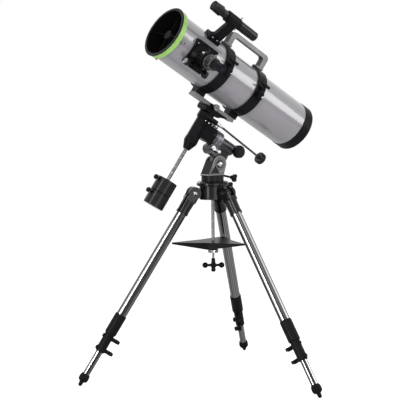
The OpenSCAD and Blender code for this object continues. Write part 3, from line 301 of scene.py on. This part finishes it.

# How far round each tube its painted stripes are turned, for legs a, b and c. These turns bring the
# middle of each set towards the camera, and were worked out from its place by a separate
# calculation.
stripe_turns = (0.2698, -0.0577, -0.4094)
for leg, stripes, shift in zip(leg_names, (left_stripes, back_stripes, right_stripes), stripe_turns):
    down = Vector(joints["leg_extend_" + leg]["axis"]).normalized()
    hinge = Vector(joints["leg_fold_" + leg]["pos_m"])
    steel = steel_with_painted_reflections("leg_steel_" + leg, hinge, down, stripes, shift)
    dress("leg_tube_" + leg, steel)
    dress("leg_inner_" + leg, steel)


# Black castings: the clevises, the hub and the mount's heads are sprayed gloss black over a
# cast skin, so a broad soft orange peel shows in the highlights.
def black_casting(name, colour=(0.004, 0.004, 0.005), rough=0.3, grain=450.0, depth=0.1, shine=0.09):
    material, tree, shader = new_material(name)
    shader.inputs["Specular IOR Level"].default_value = shine
    where = object_pattern(tree)
    skin = noise(tree, where, grain, detail=3.0)
    cloud = noise(tree, where, 14.0, detail=3.0)
    lighter = tuple(min(1.0, c * 1.5 + 0.001) for c in colour)
    tree.links.new(ramp(tree, cloud, [(0.35, colour), (0.7, lighter)]), shader.inputs["Base Color"])
    tree.links.new(span(tree, cloud, rough - 0.06, rough + 0.08), shader.inputs["Roughness"])
    bump(tree, shader, skin, depth, 0.0004)
    return material


leg_black = black_casting("clevis_black", rough=0.2, depth=0.04, shine=0.28)
clamp_black = black_casting("clamp_black", rough=0.36, grain=900.0)
foot_rubber = black_casting("foot_rubber", rough=0.55, grain=1400.0, depth=0.2)
for leg in leg_names:
    dress("leg_socket_" + leg, leg_black)
    dress("leg_clamp_" + leg, clamp_black)
    dress("leg_knobs_" + leg, clamp_black)


# ---- Feet and clamp bosses ----------------------------------------------------------------------
# Each leg stands on a moulded rubber foot: a ball under a fat rounded collar that is pushed over
# the extension tube. The blind ends of the clamp's screws show as two low bosses on its outside.
def turned(name, stations, place, along, material, body, slot, steps=40):
    """A turned piece: a disc drawn out from station to station, each a (height, radius) pair."""
    along = Vector(along).normalized()
    place = Vector(place)
    upright = Vector((0, 0, 1)).rotation_difference(along)
    bpy.ops.object.select_all(action="DESELECT")
    bpy.ops.mesh.primitive_circle_add(
        vertices=steps, radius=stations[0][1], fill_type="NGON",
        location=place + along * stations[0][0], rotation=upright.to_euler())
    piece = bpy.context.object
    piece.name = name
    bpy.ops.object.mode_set(mode="EDIT")
    bpy.ops.mesh.select_all(action="SELECT")
    for (height, radius), (next_height, next_radius) in zip(stations, stations[1:]):
        bpy.ops.mesh.extrude_region_move(
            TRANSFORM_OT_translate={"value": along * (next_height - height)})
        bpy.ops.transform.resize(
            value=(next_radius / radius,) * 3, center_override=place + along * next_height)
    bpy.ops.mesh.select_all(action="SELECT")
    bpy.ops.mesh.normals_make_consistent(inside=False)
    bpy.ops.object.mode_set(mode="OBJECT")
    bpy.ops.object.transform_apply(location=True, rotation=True, scale=True)
    bpy.ops.object.shade_smooth_by_angle(angle=math.radians(32))
    piece.data.materials.append(material)
    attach(piece, body)
    bpy.ops.object.select_all(action="DESELECT")
    return piece


leg_length = 0.823
foot_ball_r = 0.0074
foot_ball = [
    (-foot_ball_r * math.cos(math.radians(turn)), foot_ball_r * math.sin(math.radians(turn)))
    for turn in (12, 30, 50, 70, 90)
]
foot_collar = [
    (0.009, 0.0082), (0.011, 0.010), (0.013, 0.0136), (0.016, 0.0166), (0.020, 0.0184),
    (0.027, 0.0188), (0.034, 0.0182), (0.041, 0.0162), (0.043, 0.0142),
]
boss_places = (0.623, 0.673)
boss_shape = [(0.016, 0.0075), (0.0205, 0.0075), (0.0222, 0.0066), (0.0224, 0.004), (0.0218, 0.003)]
for leg in leg_names:
    hinge = Vector(joints["leg_fold_" + leg]["pos_m"])
    down = Vector(joints["leg_extend_" + leg]["axis"]).normalized()
    outward = Vector((down.x, down.y, 0)).normalized()
    outward = (outward - down * outward.dot(down)).normalized()
    foot = turned(
        "rubber_foot_" + leg, foot_ball + foot_collar, hinge + down * leg_length, -down,
        foot_rubber, "leg_extension_" + leg, "rubber_foot")
    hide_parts("leg_foot_" + leg)
    for number, place in enumerate(boss_places, 1):
        turned(
            "clamp_boss_%s_%d" % (leg, number), boss_shape, hinge + down * place, outward,
            clamp_black, "leg_" + leg, "black_plastic", 24)


# ---- Hub, bolts, rod and tray -------------------------------------------------------------------
# The hub casting carries the three legs. The rod hangs from it and holds the black tray up with a
# chromed ring nut, and the ball-ended handle turns on the rod's thread.
def plated(name, colour=0.75, rough=0.1, dark=0.8, patch=60.0):
    """Plated metal. Its light and dark patches are painted, for what bright plating mirrors."""
    material, tree, shader = new_material(name)
    where = object_pattern(tree)
    reflection_patches = noise(tree, where, patch, detail=2.0)
    # The light and dark patches in the colour are painted reflections; the same noise varies the
    # roughness.
    tree.links.new(
        ramp(tree, reflection_patches, [(0.36, colour * dark), (0.5, colour * 0.6), (0.6, colour)]),
        shader.inputs["Base Color"])
    tree.links.new(span(tree, reflection_patches, rough, rough + 0.08), shader.inputs["Roughness"])
    shader.inputs["Metallic"].default_value = 1.0
    bump(tree, shader, noise(tree, where, 700.0), 0.03, 0.0002)
    return material


chrome = plated("bright_plating", 0.7, 0.12, dark=0.12, patch=150.0)
dress("tripod_hub", black_casting("hub_black", rough=0.2, depth=0.03, shine=0.3))
dress("leg_bolts", chrome)
dress("spreader_rod", plated("rod_plating", 0.26, 0.3))
dress("tray_nut", chrome)
dress("tray_handle", black_casting("handle_black", rough=0.32, grain=900.0))
dress("spreader_tray", black_casting("tray_black", rough=0.34, grain=700.0))
dress("azimuth_knob", clamp_black)


# ---- Equatorial mount ---------------------------------------------------------------------------
# The forked base, the polar housing and the Dec housing are separate castings. The base's ears and
# the polar housing are dark grey and the rest is black, with black or chromed knobs and screws. Each
# ear's greys are set by distance from the bolt: a painted shadow in the ring round the bolt and a
# painted highlight round the ear's rim. The light line along the fork's floor is a painted highlight
# on its edge.
mount_black = black_casting("mount_black", rough=0.3)
fork_pivot = Vector(joints["latitude_tilt"]["pos_m"])
ear_face = 0.0245      # a little less than the ears' outer faces stand from the middle
floor_drop = 0.0388    # how far the fork's floor lies under its pivot
line_below = 0.0022    # how far the light line reaches under the floor
line_above = 0.0012    # how far it reaches over the floor


def part_of(tree, vector, axis, operation, threshold):
    """1 where the vector's part along axis, X, Y or Z, passes the threshold, and 0 elsewhere."""
    parts = tree.nodes.new("ShaderNodeSeparateXYZ")
    tree.links.new(vector, parts.inputs[0])
    size = tree.nodes.new("ShaderNodeMath")
    size.operation = "ABSOLUTE" if operation == "BEYOND" else "ADD"
    size.inputs[1].default_value = 0.0
    tree.links.new(parts.outputs[axis], size.inputs[0])
    test = tree.nodes.new("ShaderNodeMath")
    test.operation = "LESS_THAN" if operation == "BELOW" else "GREATER_THAN"
    test.inputs[1].default_value = threshold
    tree.links.new(size.outputs[0], test.inputs[0])
    return test.outputs[0]


def both(tree, first, second):
    node = tree.nodes.new("ShaderNodeMath")
    node.operation = "MULTIPLY"
    tree.links.new(first, node.inputs[0])
    tree.links.new(second, node.inputs[1])
    return node.outputs[0]


def choose(tree, factor, off, on):
    """Mixes two numbers, colours or sockets: off at 0 and on at 1."""
    node = tree.nodes.new("ShaderNodeMix")
    node.data_type = "RGBA"
    tree.links.new(factor, node.inputs["Factor"])
    for socket, value in ((node.inputs["A"], off), (node.inputs["B"], on)):
        if isinstance(value, bpy.types.NodeSocket):
            tree.links.new(value, socket)
        elif isinstance(value, tuple):
            socket.default_value = (*value, 1.0)
        else:
            socket.default_value = (value, value, value, 1.0)
    return node.outputs["Result"]


def moved_to(tree, point):
    node = tree.nodes.new("ShaderNodeVectorMath")
    node.operation = "SUBTRACT"
    node.inputs[1].default_value = point
    tree.links.new(object_pattern(tree), node.inputs[0])
    return node.outputs["Vector"]


def distance(tree, vector, keep):
    """How far a point is from the origin, along the directions that keep holds."""
    flat = tree.nodes.new("ShaderNodeVectorMath")
    flat.operation = "MULTIPLY"
    flat.inputs[1].default_value = keep
    tree.links.new(vector, flat.inputs[0])
    length = tree.nodes.new("ShaderNodeVectorMath")
    length.operation = "LENGTH"
    tree.links.new(flat.outputs["Vector"], length.inputs[0])
    return length.outputs["Value"]


mount_paint, mount_tree, mount_shader = new_material("fork_grey_black")
from_pivot = moved_to(mount_tree, fork_pivot)
on_ear = both(
    mount_tree,
    part_of(mount_tree, from_pivot, "Y", "BEYOND", ear_face),
    part_of(mount_tree, from_pivot, "Z", "ABOVE", -floor_drop))
from_bolt = span(mount_tree, distance(mount_tree, from_pivot, (25.0, 0.0, 25.0)), 0.0, 1.0)
# The ears' grey, with a painted shadow round the bolt and a painted highlight round the ear's rim.
ear_grey_and_painted_light = ramp(mount_tree, from_bolt, [
    (0.33, 0.05), (0.40, 0.03), (0.43, 0.16), (0.62, 0.13), (0.72, 0.28), (0.80, 0.2), (1.0, 0.12),
])
# A painted highlight along the edge of the fork's floor.
floor_edge_highlight = both(
    mount_tree,
    part_of(mount_tree, from_pivot, "Z", "ABOVE", -floor_drop - line_below),
    part_of(mount_tree, from_pivot, "Z", "BELOW", -floor_drop + line_above))
below_ear = choose(mount_tree, floor_edge_highlight, 0.012, 0.42)
mount_tree.links.new(
    choose(mount_tree, on_ear, below_ear, ear_grey_and_painted_light), mount_shader.inputs["Base Color"])
mount_skin = noise(mount_tree, object_pattern(mount_tree), 450.0)
mount_tree.links.new(span(mount_tree, mount_skin, 0.24, 0.34), mount_shader.inputs["Roughness"])
mount_shader.inputs["Specular IOR Level"].default_value = 0.12
bump(mount_tree, mount_shader, mount_skin, 0.1, 0.0004)
dress("mount_base", mount_paint)
dress("latitude_knob", clamp_black)
dress("latitude_bolt", chrome)
dress("ra_housing", black_casting("polar_grey", colour=(0.03, 0.029, 0.034), rough=0.3, shine=0.5))
dress("ra_knob", clamp_black)
dress("ra_clamp", plated("clamp_plating", 0.5, 0.2, dark=0.1, patch=110.0))
dress("dec_housing", mount_black)
dress("polar_axle", plated("axle_plating", 0.6, 0.2))
dress("saddle", mount_black)
dress("dec_clamp", chrome)
dress("saddle_screw", plated("screw_grey", 0.42, 0.25, dark=0.3, patch=200.0))

# The setting circle is silver, with a band of dark marks and a knurled grip.
tick_start = -0.096    # places along the polar axis
tick_end = -0.089
knurl_start = -0.082
tick_count = 72.0
knurl_count = 48.0
circle_paint, circle_tree, circle_shader = new_material("circle_silver")
circle_axis = along_axis(circle_tree, joints["ra_turn"]["pos_m"], joints["ra_turn"]["axis"])
circle_turn = around(circle_tree, circle_axis)


def repeated(tree, value, count, share):
    """count marks in a turn, each taking that share of its step."""
    many = tree.nodes.new("ShaderNodeMath")
    many.operation = "MULTIPLY"
    many.inputs[1].default_value = count
    tree.links.new(value, many.inputs[0])
    step = tree.nodes.new("ShaderNodeMath")
    step.operation = "FRACT"
    tree.links.new(many.outputs[0], step.inputs[0])
    mark = tree.nodes.new("ShaderNodeMath")
    mark.operation = "LESS_THAN"
    mark.inputs[1].default_value = share
    tree.links.new(step.outputs[0], mark.inputs[0])
    return mark.outputs[0]


tick_band = both(
    circle_tree,
    part_of(circle_tree, circle_axis, "Z", "ABOVE", tick_start),
    part_of(circle_tree, circle_axis, "Z", "BELOW", tick_end))
ticks = both(circle_tree, tick_band, repeated(circle_tree, circle_turn, tick_count, 0.22))
knurl_band = part_of(circle_tree, circle_axis, "Z", "ABOVE", knurl_start)
knurl = both(circle_tree, knurl_band, repeated(circle_tree, circle_turn, knurl_count, 0.55))
circle_haze = noise(circle_tree, object_pattern(circle_tree), 70.0)
circle_bare = ramp(
    circle_tree, circle_haze, [(0.35, (0.13, 0.125, 0.145)), (0.65, (0.24, 0.235, 0.255))])
circle_marked = choose(circle_tree, ticks, circle_bare, 0.01)
circle_tree.links.new(
    choose(circle_tree, knurl, circle_marked, 0.02), circle_shader.inputs["Base Color"])
circle_tree.links.new(span(circle_tree, circle_haze, 0.3, 0.42), circle_shader.inputs["Roughness"])
circle_shader.inputs["Metallic"].default_value = 0.6
bump(circle_tree, circle_shader, knurl, 0.5, 0.0006)
dress("ra_circle", circle_paint)


# Slow motion stalk of the Dec axis: a chromed coupling on the worm, then a stout flexible stalk
# sleeved in black, with the lobed knob on its end.
stalk_spindle = 0.028    # how far the stalk's spindle reaches into the worm box
coupling_end = 0.031     # how far the coupling reaches out of it
sleeve_end = 0.235
stalk_way = Vector(joints["dec_stalk_turn"]["axis"]).normalized()
stalk_point = Vector(joints["dec_stalk_turn"]["pos_m"])
stalk_vertices = frame["nodes"]["dec_control"].data.vertices
stalk_start = min(vertex.co.dot(stalk_way) for vertex in stalk_vertices)
stalk_point += stalk_way * (stalk_start + stalk_spindle - stalk_point.dot(stalk_way))
stalk_paint, stalk_tree, stalk_shader = new_material("stalk_black_chrome")
stalk_axis = along_axis(stalk_tree, stalk_point, stalk_way)
stalk_coupling = part_of(stalk_tree, stalk_axis, "Z", "BELOW", coupling_end)
stalk_skin_and_reflection = noise(stalk_tree, object_pattern(stalk_tree), 260.0, detail=2.0)
# The coupling's light and dark patches are painted reflections; the same noise roughens and bumps the
# whole stalk.
stalk_painted_reflection = ramp(stalk_tree, stalk_skin_and_reflection, [(0.42, 0.08), (0.52, 0.7)])
stalk_tree.links.new(
    choose(stalk_tree, stalk_coupling, 0.008, stalk_painted_reflection), stalk_shader.inputs["Base Color"])
stalk_tree.links.new(choose(stalk_tree, stalk_coupling, 0.0, 1.0), stalk_shader.inputs["Metallic"])
stalk_tree.links.new(
    choose(stalk_tree, stalk_coupling, span(stalk_tree, stalk_skin_and_reflection, 0.3, 0.44), 0.15),
    stalk_shader.inputs["Roughness"])
stalk_shader.inputs["Specular IOR Level"].default_value = 0.2
bump(stalk_tree, stalk_shader, stalk_skin_and_reflection, 0.08, 0.0003)
dress("dec_control", stalk_paint)
stalk_black = black_casting("stalk_black", (0.02, 0.02, 0.022), 0.25, 900.0, shine=0.4)
turned(
    "stalk_sleeve",
    [(0.0295, 0.0036), (coupling_end, 0.004), (0.231, 0.004), (sleeve_end, 0.0045)],
    stalk_point, stalk_way, stalk_black, "dec_slow_stalk", "black_steel", 24)

# Three bright screws hold the cover of the worm box.
box_screws_up = 0.032      # how far up the Dec axis they stand
box_face = 0.0282          # how far the cover stands from the polar axis
box_screw_places = (-0.030, -0.012, 0.006)
head_point = Vector(joints["ra_turn"]["pos_m"])
head_way = Vector(joints["ra_turn"]["axis"]).normalized()
dec_way = Vector(joints["dec_turn"]["axis"]).normalized()
head_side = head_way.cross(dec_way)


def screw_head(radius, height):
    """The stations of a rounded screw head, from just under its seat to its top."""
    return [
        (-0.001, radius), (height * 0.55, radius),
        (height * 0.9, radius * 0.8), (height, radius * 0.4),
    ]


for number, along_box in enumerate(box_screw_places, 1):
    turned(
        "worm_box_screw_%d" % number, screw_head(0.0032, 0.0026),
        head_point + dec_way * box_screws_up - head_side * box_face + head_way * along_box,
        -head_side, chrome, "dec_head", "chromed", 20)


# ---- Counterweights -----------------------------------------------------------------------------
# Two turned iron weights, sprayed gloss black, slide on a bare steel shaft that stands in the Dec
# housing. A black screw through the side of each weight locks it on the shaft.
weight_black = black_casting("weight_black", rough=0.22, depth=0.02, shine=0.25)
dress("cw_upper", weight_black)
dress("cw_lower", weight_black)
dress("cw_screw_upper", clamp_black)
dress("cw_screw_lower", clamp_black)

shaft_steel, shaft_tree, shaft_shader = new_material("shaft_steel")
shaft_axis = along_axis(shaft_tree, joints["dec_turn"]["pos_m"], joints["dec_turn"]["axis"])
shaft_bands = noise(shaft_tree, stretched(shaft_tree, shaft_axis, (4.0, 4.0, 160.0)), 1.0, detail=2.0)
shaft_tree.links.new(
    ramp(shaft_tree, shaft_bands, [(0.38, 0.10), (0.5, 0.17), (0.62, 0.26)]),
    shaft_shader.inputs["Base Color"])
shaft_tree.links.new(span(shaft_tree, shaft_bands, 0.2, 0.35), shaft_shader.inputs["Roughness"])
shaft_shader.inputs["Metallic"].default_value = 1.0
dress("cw_shaft", shaft_steel)


# ---- Rings, bar and handle ----------------------------------------------------------------------
# Two cast black rings hold the tube, each a lower half on the grey dovetail bar and a hinged lid.
# The handle stands on the lids. Its flanks are grey, and the rest of it is black.
ring_black = black_casting("ring_black", rough=0.3)
dress("dovetail_bar", black_casting("bar_grey", colour=(0.2, 0.197, 0.205), rough=0.35))
dress("rings_lower", ring_black)
dress("rings_upper", ring_black)
dress("ring_bolts", clamp_black)

tube_point = Vector(joints["tube_turn"]["pos_m"])
tube_way = Vector(joints["tube_turn"]["axis"]).normalized()
tube_side = tube_way.cross(dec_way)
handle_half = 0.015      # half the handle's width
flank_depth = 0.0006     # how deep the flanks' darker paint reaches
handle_paint, handle_tree, handle_shader = new_material("handle_two_greys")
handle_across = along_axis(handle_tree, tube_point, tube_side)
handle_flank = part_of(handle_tree, handle_across, "Z", "BEYOND", handle_half - flank_depth)
handle_grain = noise(handle_tree, object_pattern(handle_tree), 700.0)
handle_cloud = noise(handle_tree, object_pattern(handle_tree), 12.0)
handle_grey = ramp(handle_tree, handle_cloud, [(0.3, 0.24), (0.7, 0.36)])
handle_tree.links.new(
    choose(handle_tree, handle_flank, 0.012, handle_grey), handle_shader.inputs["Base Color"])
handle_tree.links.new(span(handle_tree, handle_grain, 0.3, 0.42), handle_shader.inputs["Roughness"])
handle_shader.inputs["Specular IOR Level"].default_value = 0.25
bump(handle_tree, handle_shader, handle_grain, 0.12, 0.0004)
dress("carry_handle", handle_paint)

# A bright nut sits under each ring's lock: its places up from the tube's axis and forwards along it.
nut_places = ((-0.0023, 0.0715), (-0.0032, -0.0994))
nut_out = 0.116
for number, (up, forwards) in enumerate(nut_places, 1):
    turned(
        "ring_nut_%d" % number, screw_head(0.0048, 0.004),
        tube_point + dec_way * up - tube_side * nut_out + tube_way * forwards, -tube_side,
        chrome, "cradle", "chromed", 6)


# ---- Optical tube -------------------------------------------------------------------------------
# Rolled steel tube, sprayed metallic grey under a clear coat and flat black inside. A black rim and
# a green band close its front, and a black cap its rear. Fine flakes show in the highlight.
black_inside_r = 0.0902    # the black reaches from the axis out to here
tube_paint, tube_tree, tube_shader = new_material("tube_grey")
tube_where = object_pattern(tube_tree)
flakes = noise(tube_tree, tube_where, 2600.0, detail=1.0)
tube_cloud = noise(tube_tree, tube_where, 5.0, detail=3.0)


def outside_of(tree, point, direction, radius):
    """1 farther than radius from the axis, and 0 nearer."""
    far = tree.nodes.new("ShaderNodeMath")
    far.operation = "GREATER_THAN"
    far.inputs[1].default_value = radius
    tree.links.new(
        distance(tree, along_axis(tree, point, direction), (1.0, 1.0, 0.0)), far.inputs[0])
    return far.outputs[0]


tube_outside = outside_of(tube_tree, tube_point, tube_way, black_inside_r)
tube_grey = ramp(
    tube_tree, tube_cloud, [(0.3, (0.262, 0.252, 0.272)), (0.7, (0.285, 0.274, 0.295))])
tube_tree.links.new(
    choose(tube_tree, tube_outside, 0.003, tube_grey), tube_shader.inputs["Base Color"])
tube_tree.links.new(
    choose(tube_tree, tube_outside, 0.75, span(tube_tree, flakes, 0.26, 0.38)),
    tube_shader.inputs["Roughness"])
tube_tree.links.new(choose(tube_tree, tube_outside, 0.0, 0.15), tube_shader.inputs["Metallic"])
tube_tree.links.new(choose(tube_tree, tube_outside, 0.0, 1.0), tube_shader.inputs["Coat Weight"])
tube_tree.links.new(
    choose(tube_tree, tube_outside, 0.05, 0.5), tube_shader.inputs["Specular IOR Level"])
tube_shader.inputs["Coat Roughness"].default_value = 0.05
tube_shader.inputs["Coat IOR"].default_value = 1.65
bump(tube_tree, tube_shader, flakes, 0.03, 0.0002)
dress("main_tube", tube_paint)

green_paint, green_tree, green_shader = new_material("band_green")
green_where = object_pattern(green_tree)
green_cloud = noise(green_tree, green_where, 9.0)
green_tree.links.new(
    ramp(green_tree, green_cloud, [(0.3, (0.30, 0.56, 0.13)), (0.7, (0.34, 0.62, 0.15))]),
    green_shader.inputs["Base Color"])
green_tree.links.new(span(green_tree, green_cloud, 0.25, 0.4), green_shader.inputs["Roughness"])
bump(green_tree, green_shader, noise(green_tree, green_where, 800.0), 0.05, 0.0003)
dress("green_ring", green_paint)
dress("front_ring", black_casting("rim_black", rough=0.3, grain=900.0))
dress("rear_cap", black_casting("cap_black", rough=0.4, grain=900.0))

# The vanes run to the nuts on the tube, so the spider stands square to the handle. The solid's
# vanes stand 45 degrees from there, so a turned copy takes its place.
spider_turn = 45.0
same_point = 0.00001    # vertices closer than this are joined
bpy.ops.object.select_all(action="DESELECT")
spider_node = frame["nodes"]["spider"]
spider_node.select_set(True)
bpy.context.view_layer.objects.active = spider_node
bpy.ops.object.duplicate()
spider_look = bpy.context.object
spider_look.name = "spider_square"
bpy.ops.object.mode_set(mode="EDIT")
bpy.ops.mesh.select_all(action="SELECT")
bpy.ops.mesh.remove_doubles(threshold=same_point)
bpy.ops.object.mode_set(mode="OBJECT")
spider_look.data.transform(
    Matrix.Translation(tube_point)
    @ Matrix.Rotation(math.radians(spider_turn), 4, tube_way)
    @ Matrix.Translation(-tube_point))
spider_look.data.materials.clear()
spider_look.data.materials.append(black_casting("spider_black", rough=0.5))
bpy.ops.object.select_all(action="DESELECT")
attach(spider_look, "optical_tube")
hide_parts("spider")
dress("primary_mirror", plated("mirror_silver", 0.9, 0.02))


# Nuts on the tube hold the spider's vanes, and a bright screw sits behind the nearest one. Three
# screws in the cap's back turn the mirror's cell. Angles are turns from the side of the handle.
tube_r = 0.091
vane_place = 0.302         # along the tube, from the point where it turns
vane_angles = (0.0, 90.0, 180.0, 262.0)
screw_place = 0.290
screw_angle = 265.0
cell_screw_r = 0.055       # how far the mirror's screws stand from the axis
cell_angles = (30.0, 150.0, 270.0)
vane_nut = [(-0.002, 0.0055), (0.0015, 0.0055), (0.0025, 0.0044), (0.0075, 0.0044)]
cell_screw = [(-0.001, 0.008), (0.006, 0.008), (0.008, 0.007), (0.0085, 0.004)]
nut_metal = plated("nut_plating", 0.4, 0.2, dark=0.3, patch=120.0)


def out_of_tube(turn):
    """The direction out of the tube's axis at an angle in degrees, from the side of the handle."""
    return dec_way * math.cos(math.radians(turn)) + tube_side * math.sin(math.radians(turn))


for number, turn in enumerate(vane_angles, 1):
    turned(
        "vane_nut_%d" % number, vane_nut,
        tube_point + tube_way * vane_place + out_of_tube(turn) * tube_r, out_of_tube(turn),
        nut_metal, "optical_tube", "chromed", 24)
turned(
    "tube_screw", screw_head(0.0045, 0.004),
    tube_point + tube_way * screw_place + out_of_tube(screw_angle) * tube_r,
    out_of_tube(screw_angle), chrome, "optical_tube", "chromed", 24)

cap_rear = min(vertex.co.dot(tube_way) for vertex in frame["nodes"]["rear_cap"].data.vertices)
cap_middle = tube_point + tube_way * (cap_rear - tube_point.dot(tube_way))
for number, turn in enumerate(cell_angles, 1):
    turned(
        "mirror_screw_%d" % number, cell_screw,
        cap_middle + out_of_tube(turn) * cell_screw_r, -tube_way,
        nut_metal, "optical_tube", "chromed", 24)


# ---- Focuser and eyepiece -----------------------------------------------------------------------
# A black base is screwed to the tube's side and holds the dark drawtube. Two ribbed black knobs
# with bright caps drive it, and the black eyepiece stands in its end.
cap_start = 0.0532       # the knobs' caps begin this far from the middle of their spindle
rib_count = 36
focuser_black = black_casting("focuser_black", rough=0.28)
dress("focuser_base", focuser_black)
dress("drawtube", plated("drawtube_dark", 0.12, 0.2))

knob_paint, knob_tree, knob_shader = new_material("knob_black_silver")
knob_point = joints["focus_knob_turn"]["pos_m"]
knob_way = joints["focus_knob_turn"]["axis"]
knob_axis = along_axis(knob_tree, knob_point, knob_way)
knob_cap = part_of(knob_tree, knob_axis, "Z", "BEYOND", cap_start)
knob_tree.links.new(choose(knob_tree, knob_cap, 0.008, 0.7), knob_shader.inputs["Base Color"])
knob_tree.links.new(choose(knob_tree, knob_cap, 0.0, 1.0), knob_shader.inputs["Metallic"])
knob_tree.links.new(choose(knob_tree, knob_cap, 0.35, 0.15), knob_shader.inputs["Roughness"])
knob_tree.links.new(choose(knob_tree, knob_cap, 0.2, 0.5), knob_shader.inputs["Specular IOR Level"])
knob_ribs = knob_tree.nodes.new("ShaderNodeMath")
knob_ribs.operation = "SINE"
knob_turn = knob_tree.nodes.new("ShaderNodeMath")
knob_turn.operation = "MULTIPLY"
knob_turn.inputs[1].default_value = math.tau * rib_count
knob_tree.links.new(around(knob_tree, knob_axis), knob_turn.inputs[0])
knob_tree.links.new(knob_turn.outputs[0], knob_ribs.inputs[0])
bump(knob_tree, knob_shader, knob_ribs.outputs[0], 0.4, 0.0008)
dress("focus_knobs", knob_paint)
dress("eyepiece", black_casting("eyepiece_black", rough=0.4, grain=900.0))

# Coated glass closes the eyepiece, four screws hold the base down, and a chromed screw locks the
# drawtube.
focus_way = Vector(joints["focus_slide"]["axis"]).normalized()
focus_across = tube_way.cross(focus_way)


def glass(name, colour):
    material, tree, shader = new_material(name)
    stain = noise(tree, object_pattern(tree), 90.0)
    tree.links.new(ramp(tree, stain, [(0.3, 0.002), (0.8, colour)]), shader.inputs["Base Color"])
    tree.links.new(span(tree, stain, 0.03, 0.08), shader.inputs["Roughness"])
    shader.inputs["Specular IOR Level"].default_value = 0.15
    return material


def end_of(node, along):
    """The middle of a turned node's end, the farthest one in the direction along."""
    points = [vertex.co for vertex in frame["nodes"][node].data.vertices]
    middle = sum(points, Vector()) / len(points)
    return middle + along * (max(point.dot(along) for point in points) - middle.dot(along))


turned(
    "eye_glass", [(-0.001, 0.0105), (0.0003, 0.0105), (0.0007, 0.006), (0.0008, 0.002)],
    end_of("eyepiece", focus_way), focus_way, glass("coated_glass", (0.03, 0.025, 0.05)),
    "focuser_drawtube", "mirror_glass", 32)
focuser_middle = tube_point + tube_way * 0.2
base_top = tube_r + 0.007    # how far the base's top stands from the tube's axis
base_corners = [(forwards, across) for forwards in (0.043, -0.043) for across in (0.036, -0.036)]
for number, (forwards, across) in enumerate(base_corners, 1):
    turned(
        "base_screw_%d" % number, screw_head(0.003, 0.0022),
        focuser_middle + tube_way * forwards + focus_across * across + focus_way * base_top,
        focus_way, chrome, "optical_tube", "chromed", 20)
lock_screw = [
    (-0.006, 0.0018), (0.002, 0.0018), (0.003, 0.0045),
    (0.009, 0.005), (0.011, 0.004), (0.0115, 0.002),
]
lock_place = tube_point + dec_way * -0.0103 - tube_side * 0.152 + tube_way * 0.2315
lock_way = tube_way * 0.8 + dec_way * 0.5 - tube_side * 0.33
turned("drawtube_lock", lock_screw, lock_place, lock_way, chrome, "optical_tube", "chromed", 24)


# ---- Finder -------------------------------------------------------------------------------------
# A small black telescope stands in a moulded bracket on the tube. Two bright screws hold the
# bracket's foot, three small ones aim the finder in its sleeve, and coated glass closes both ends.
dress("finder_bracket", black_casting("bracket_black", rough=0.38, grain=900.0))
dress("finder_tube", black_casting("finder_black", rough=0.22, shine=0.3))

finder_front = end_of("finder_tube", tube_way)
finder_rear = end_of("finder_tube", -tube_way)
finder_out = finder_front - tube_point
finder_out = (finder_out - tube_way * finder_out.dot(tube_way)).normalized()
foot_out = (dec_way * 0.717 - tube_side * 0.697).normalized()
foot_middle = tube_point + dec_way * 0.0742 - tube_side * 0.0736
for number, forwards in enumerate((0.189, 0.166), 1):
    turned(
        "bracket_screw_%d" % number, screw_head(0.004, 0.0045),
        foot_middle + tube_way * forwards, foot_out, chrome, "optical_tube", "chromed", 24)
finder_axis = finder_front - tube_way * (finder_front - tube_point).dot(tube_way)
aiming_place = finder_axis + tube_way * 0.156
aiming_screw = [(0.0195, 0.0015), (0.026, 0.0015), (0.0265, 0.003), (0.030, 0.003), (0.0305, 0.002)]
for number, turn in enumerate((0.0, 120.0, 240.0), 1):
    out = Matrix.Rotation(math.radians(turn), 3, tube_way) @ finder_out
    turned(
        "aiming_screw_%d" % number, aiming_screw, aiming_place, out,
        chrome, "optical_tube", "chromed", 20)
finder_glass = glass("finder_glass", (0.006, 0.007, 0.012))
turned(
    "finder_lens", [(-0.004, 0.0125), (-0.0009, 0.0125), (-0.0003, 0.008), (-0.0001, 0.003)],
    finder_front, tube_way, finder_glass, "optical_tube", "mirror_glass", 36)
turned(
    "finder_eye_glass", [(-0.002, 0.007), (0.0003, 0.007), (0.0006, 0.002)],
    finder_rear, -tube_way, finder_glass, "optical_tube", "mirror_glass", 32)
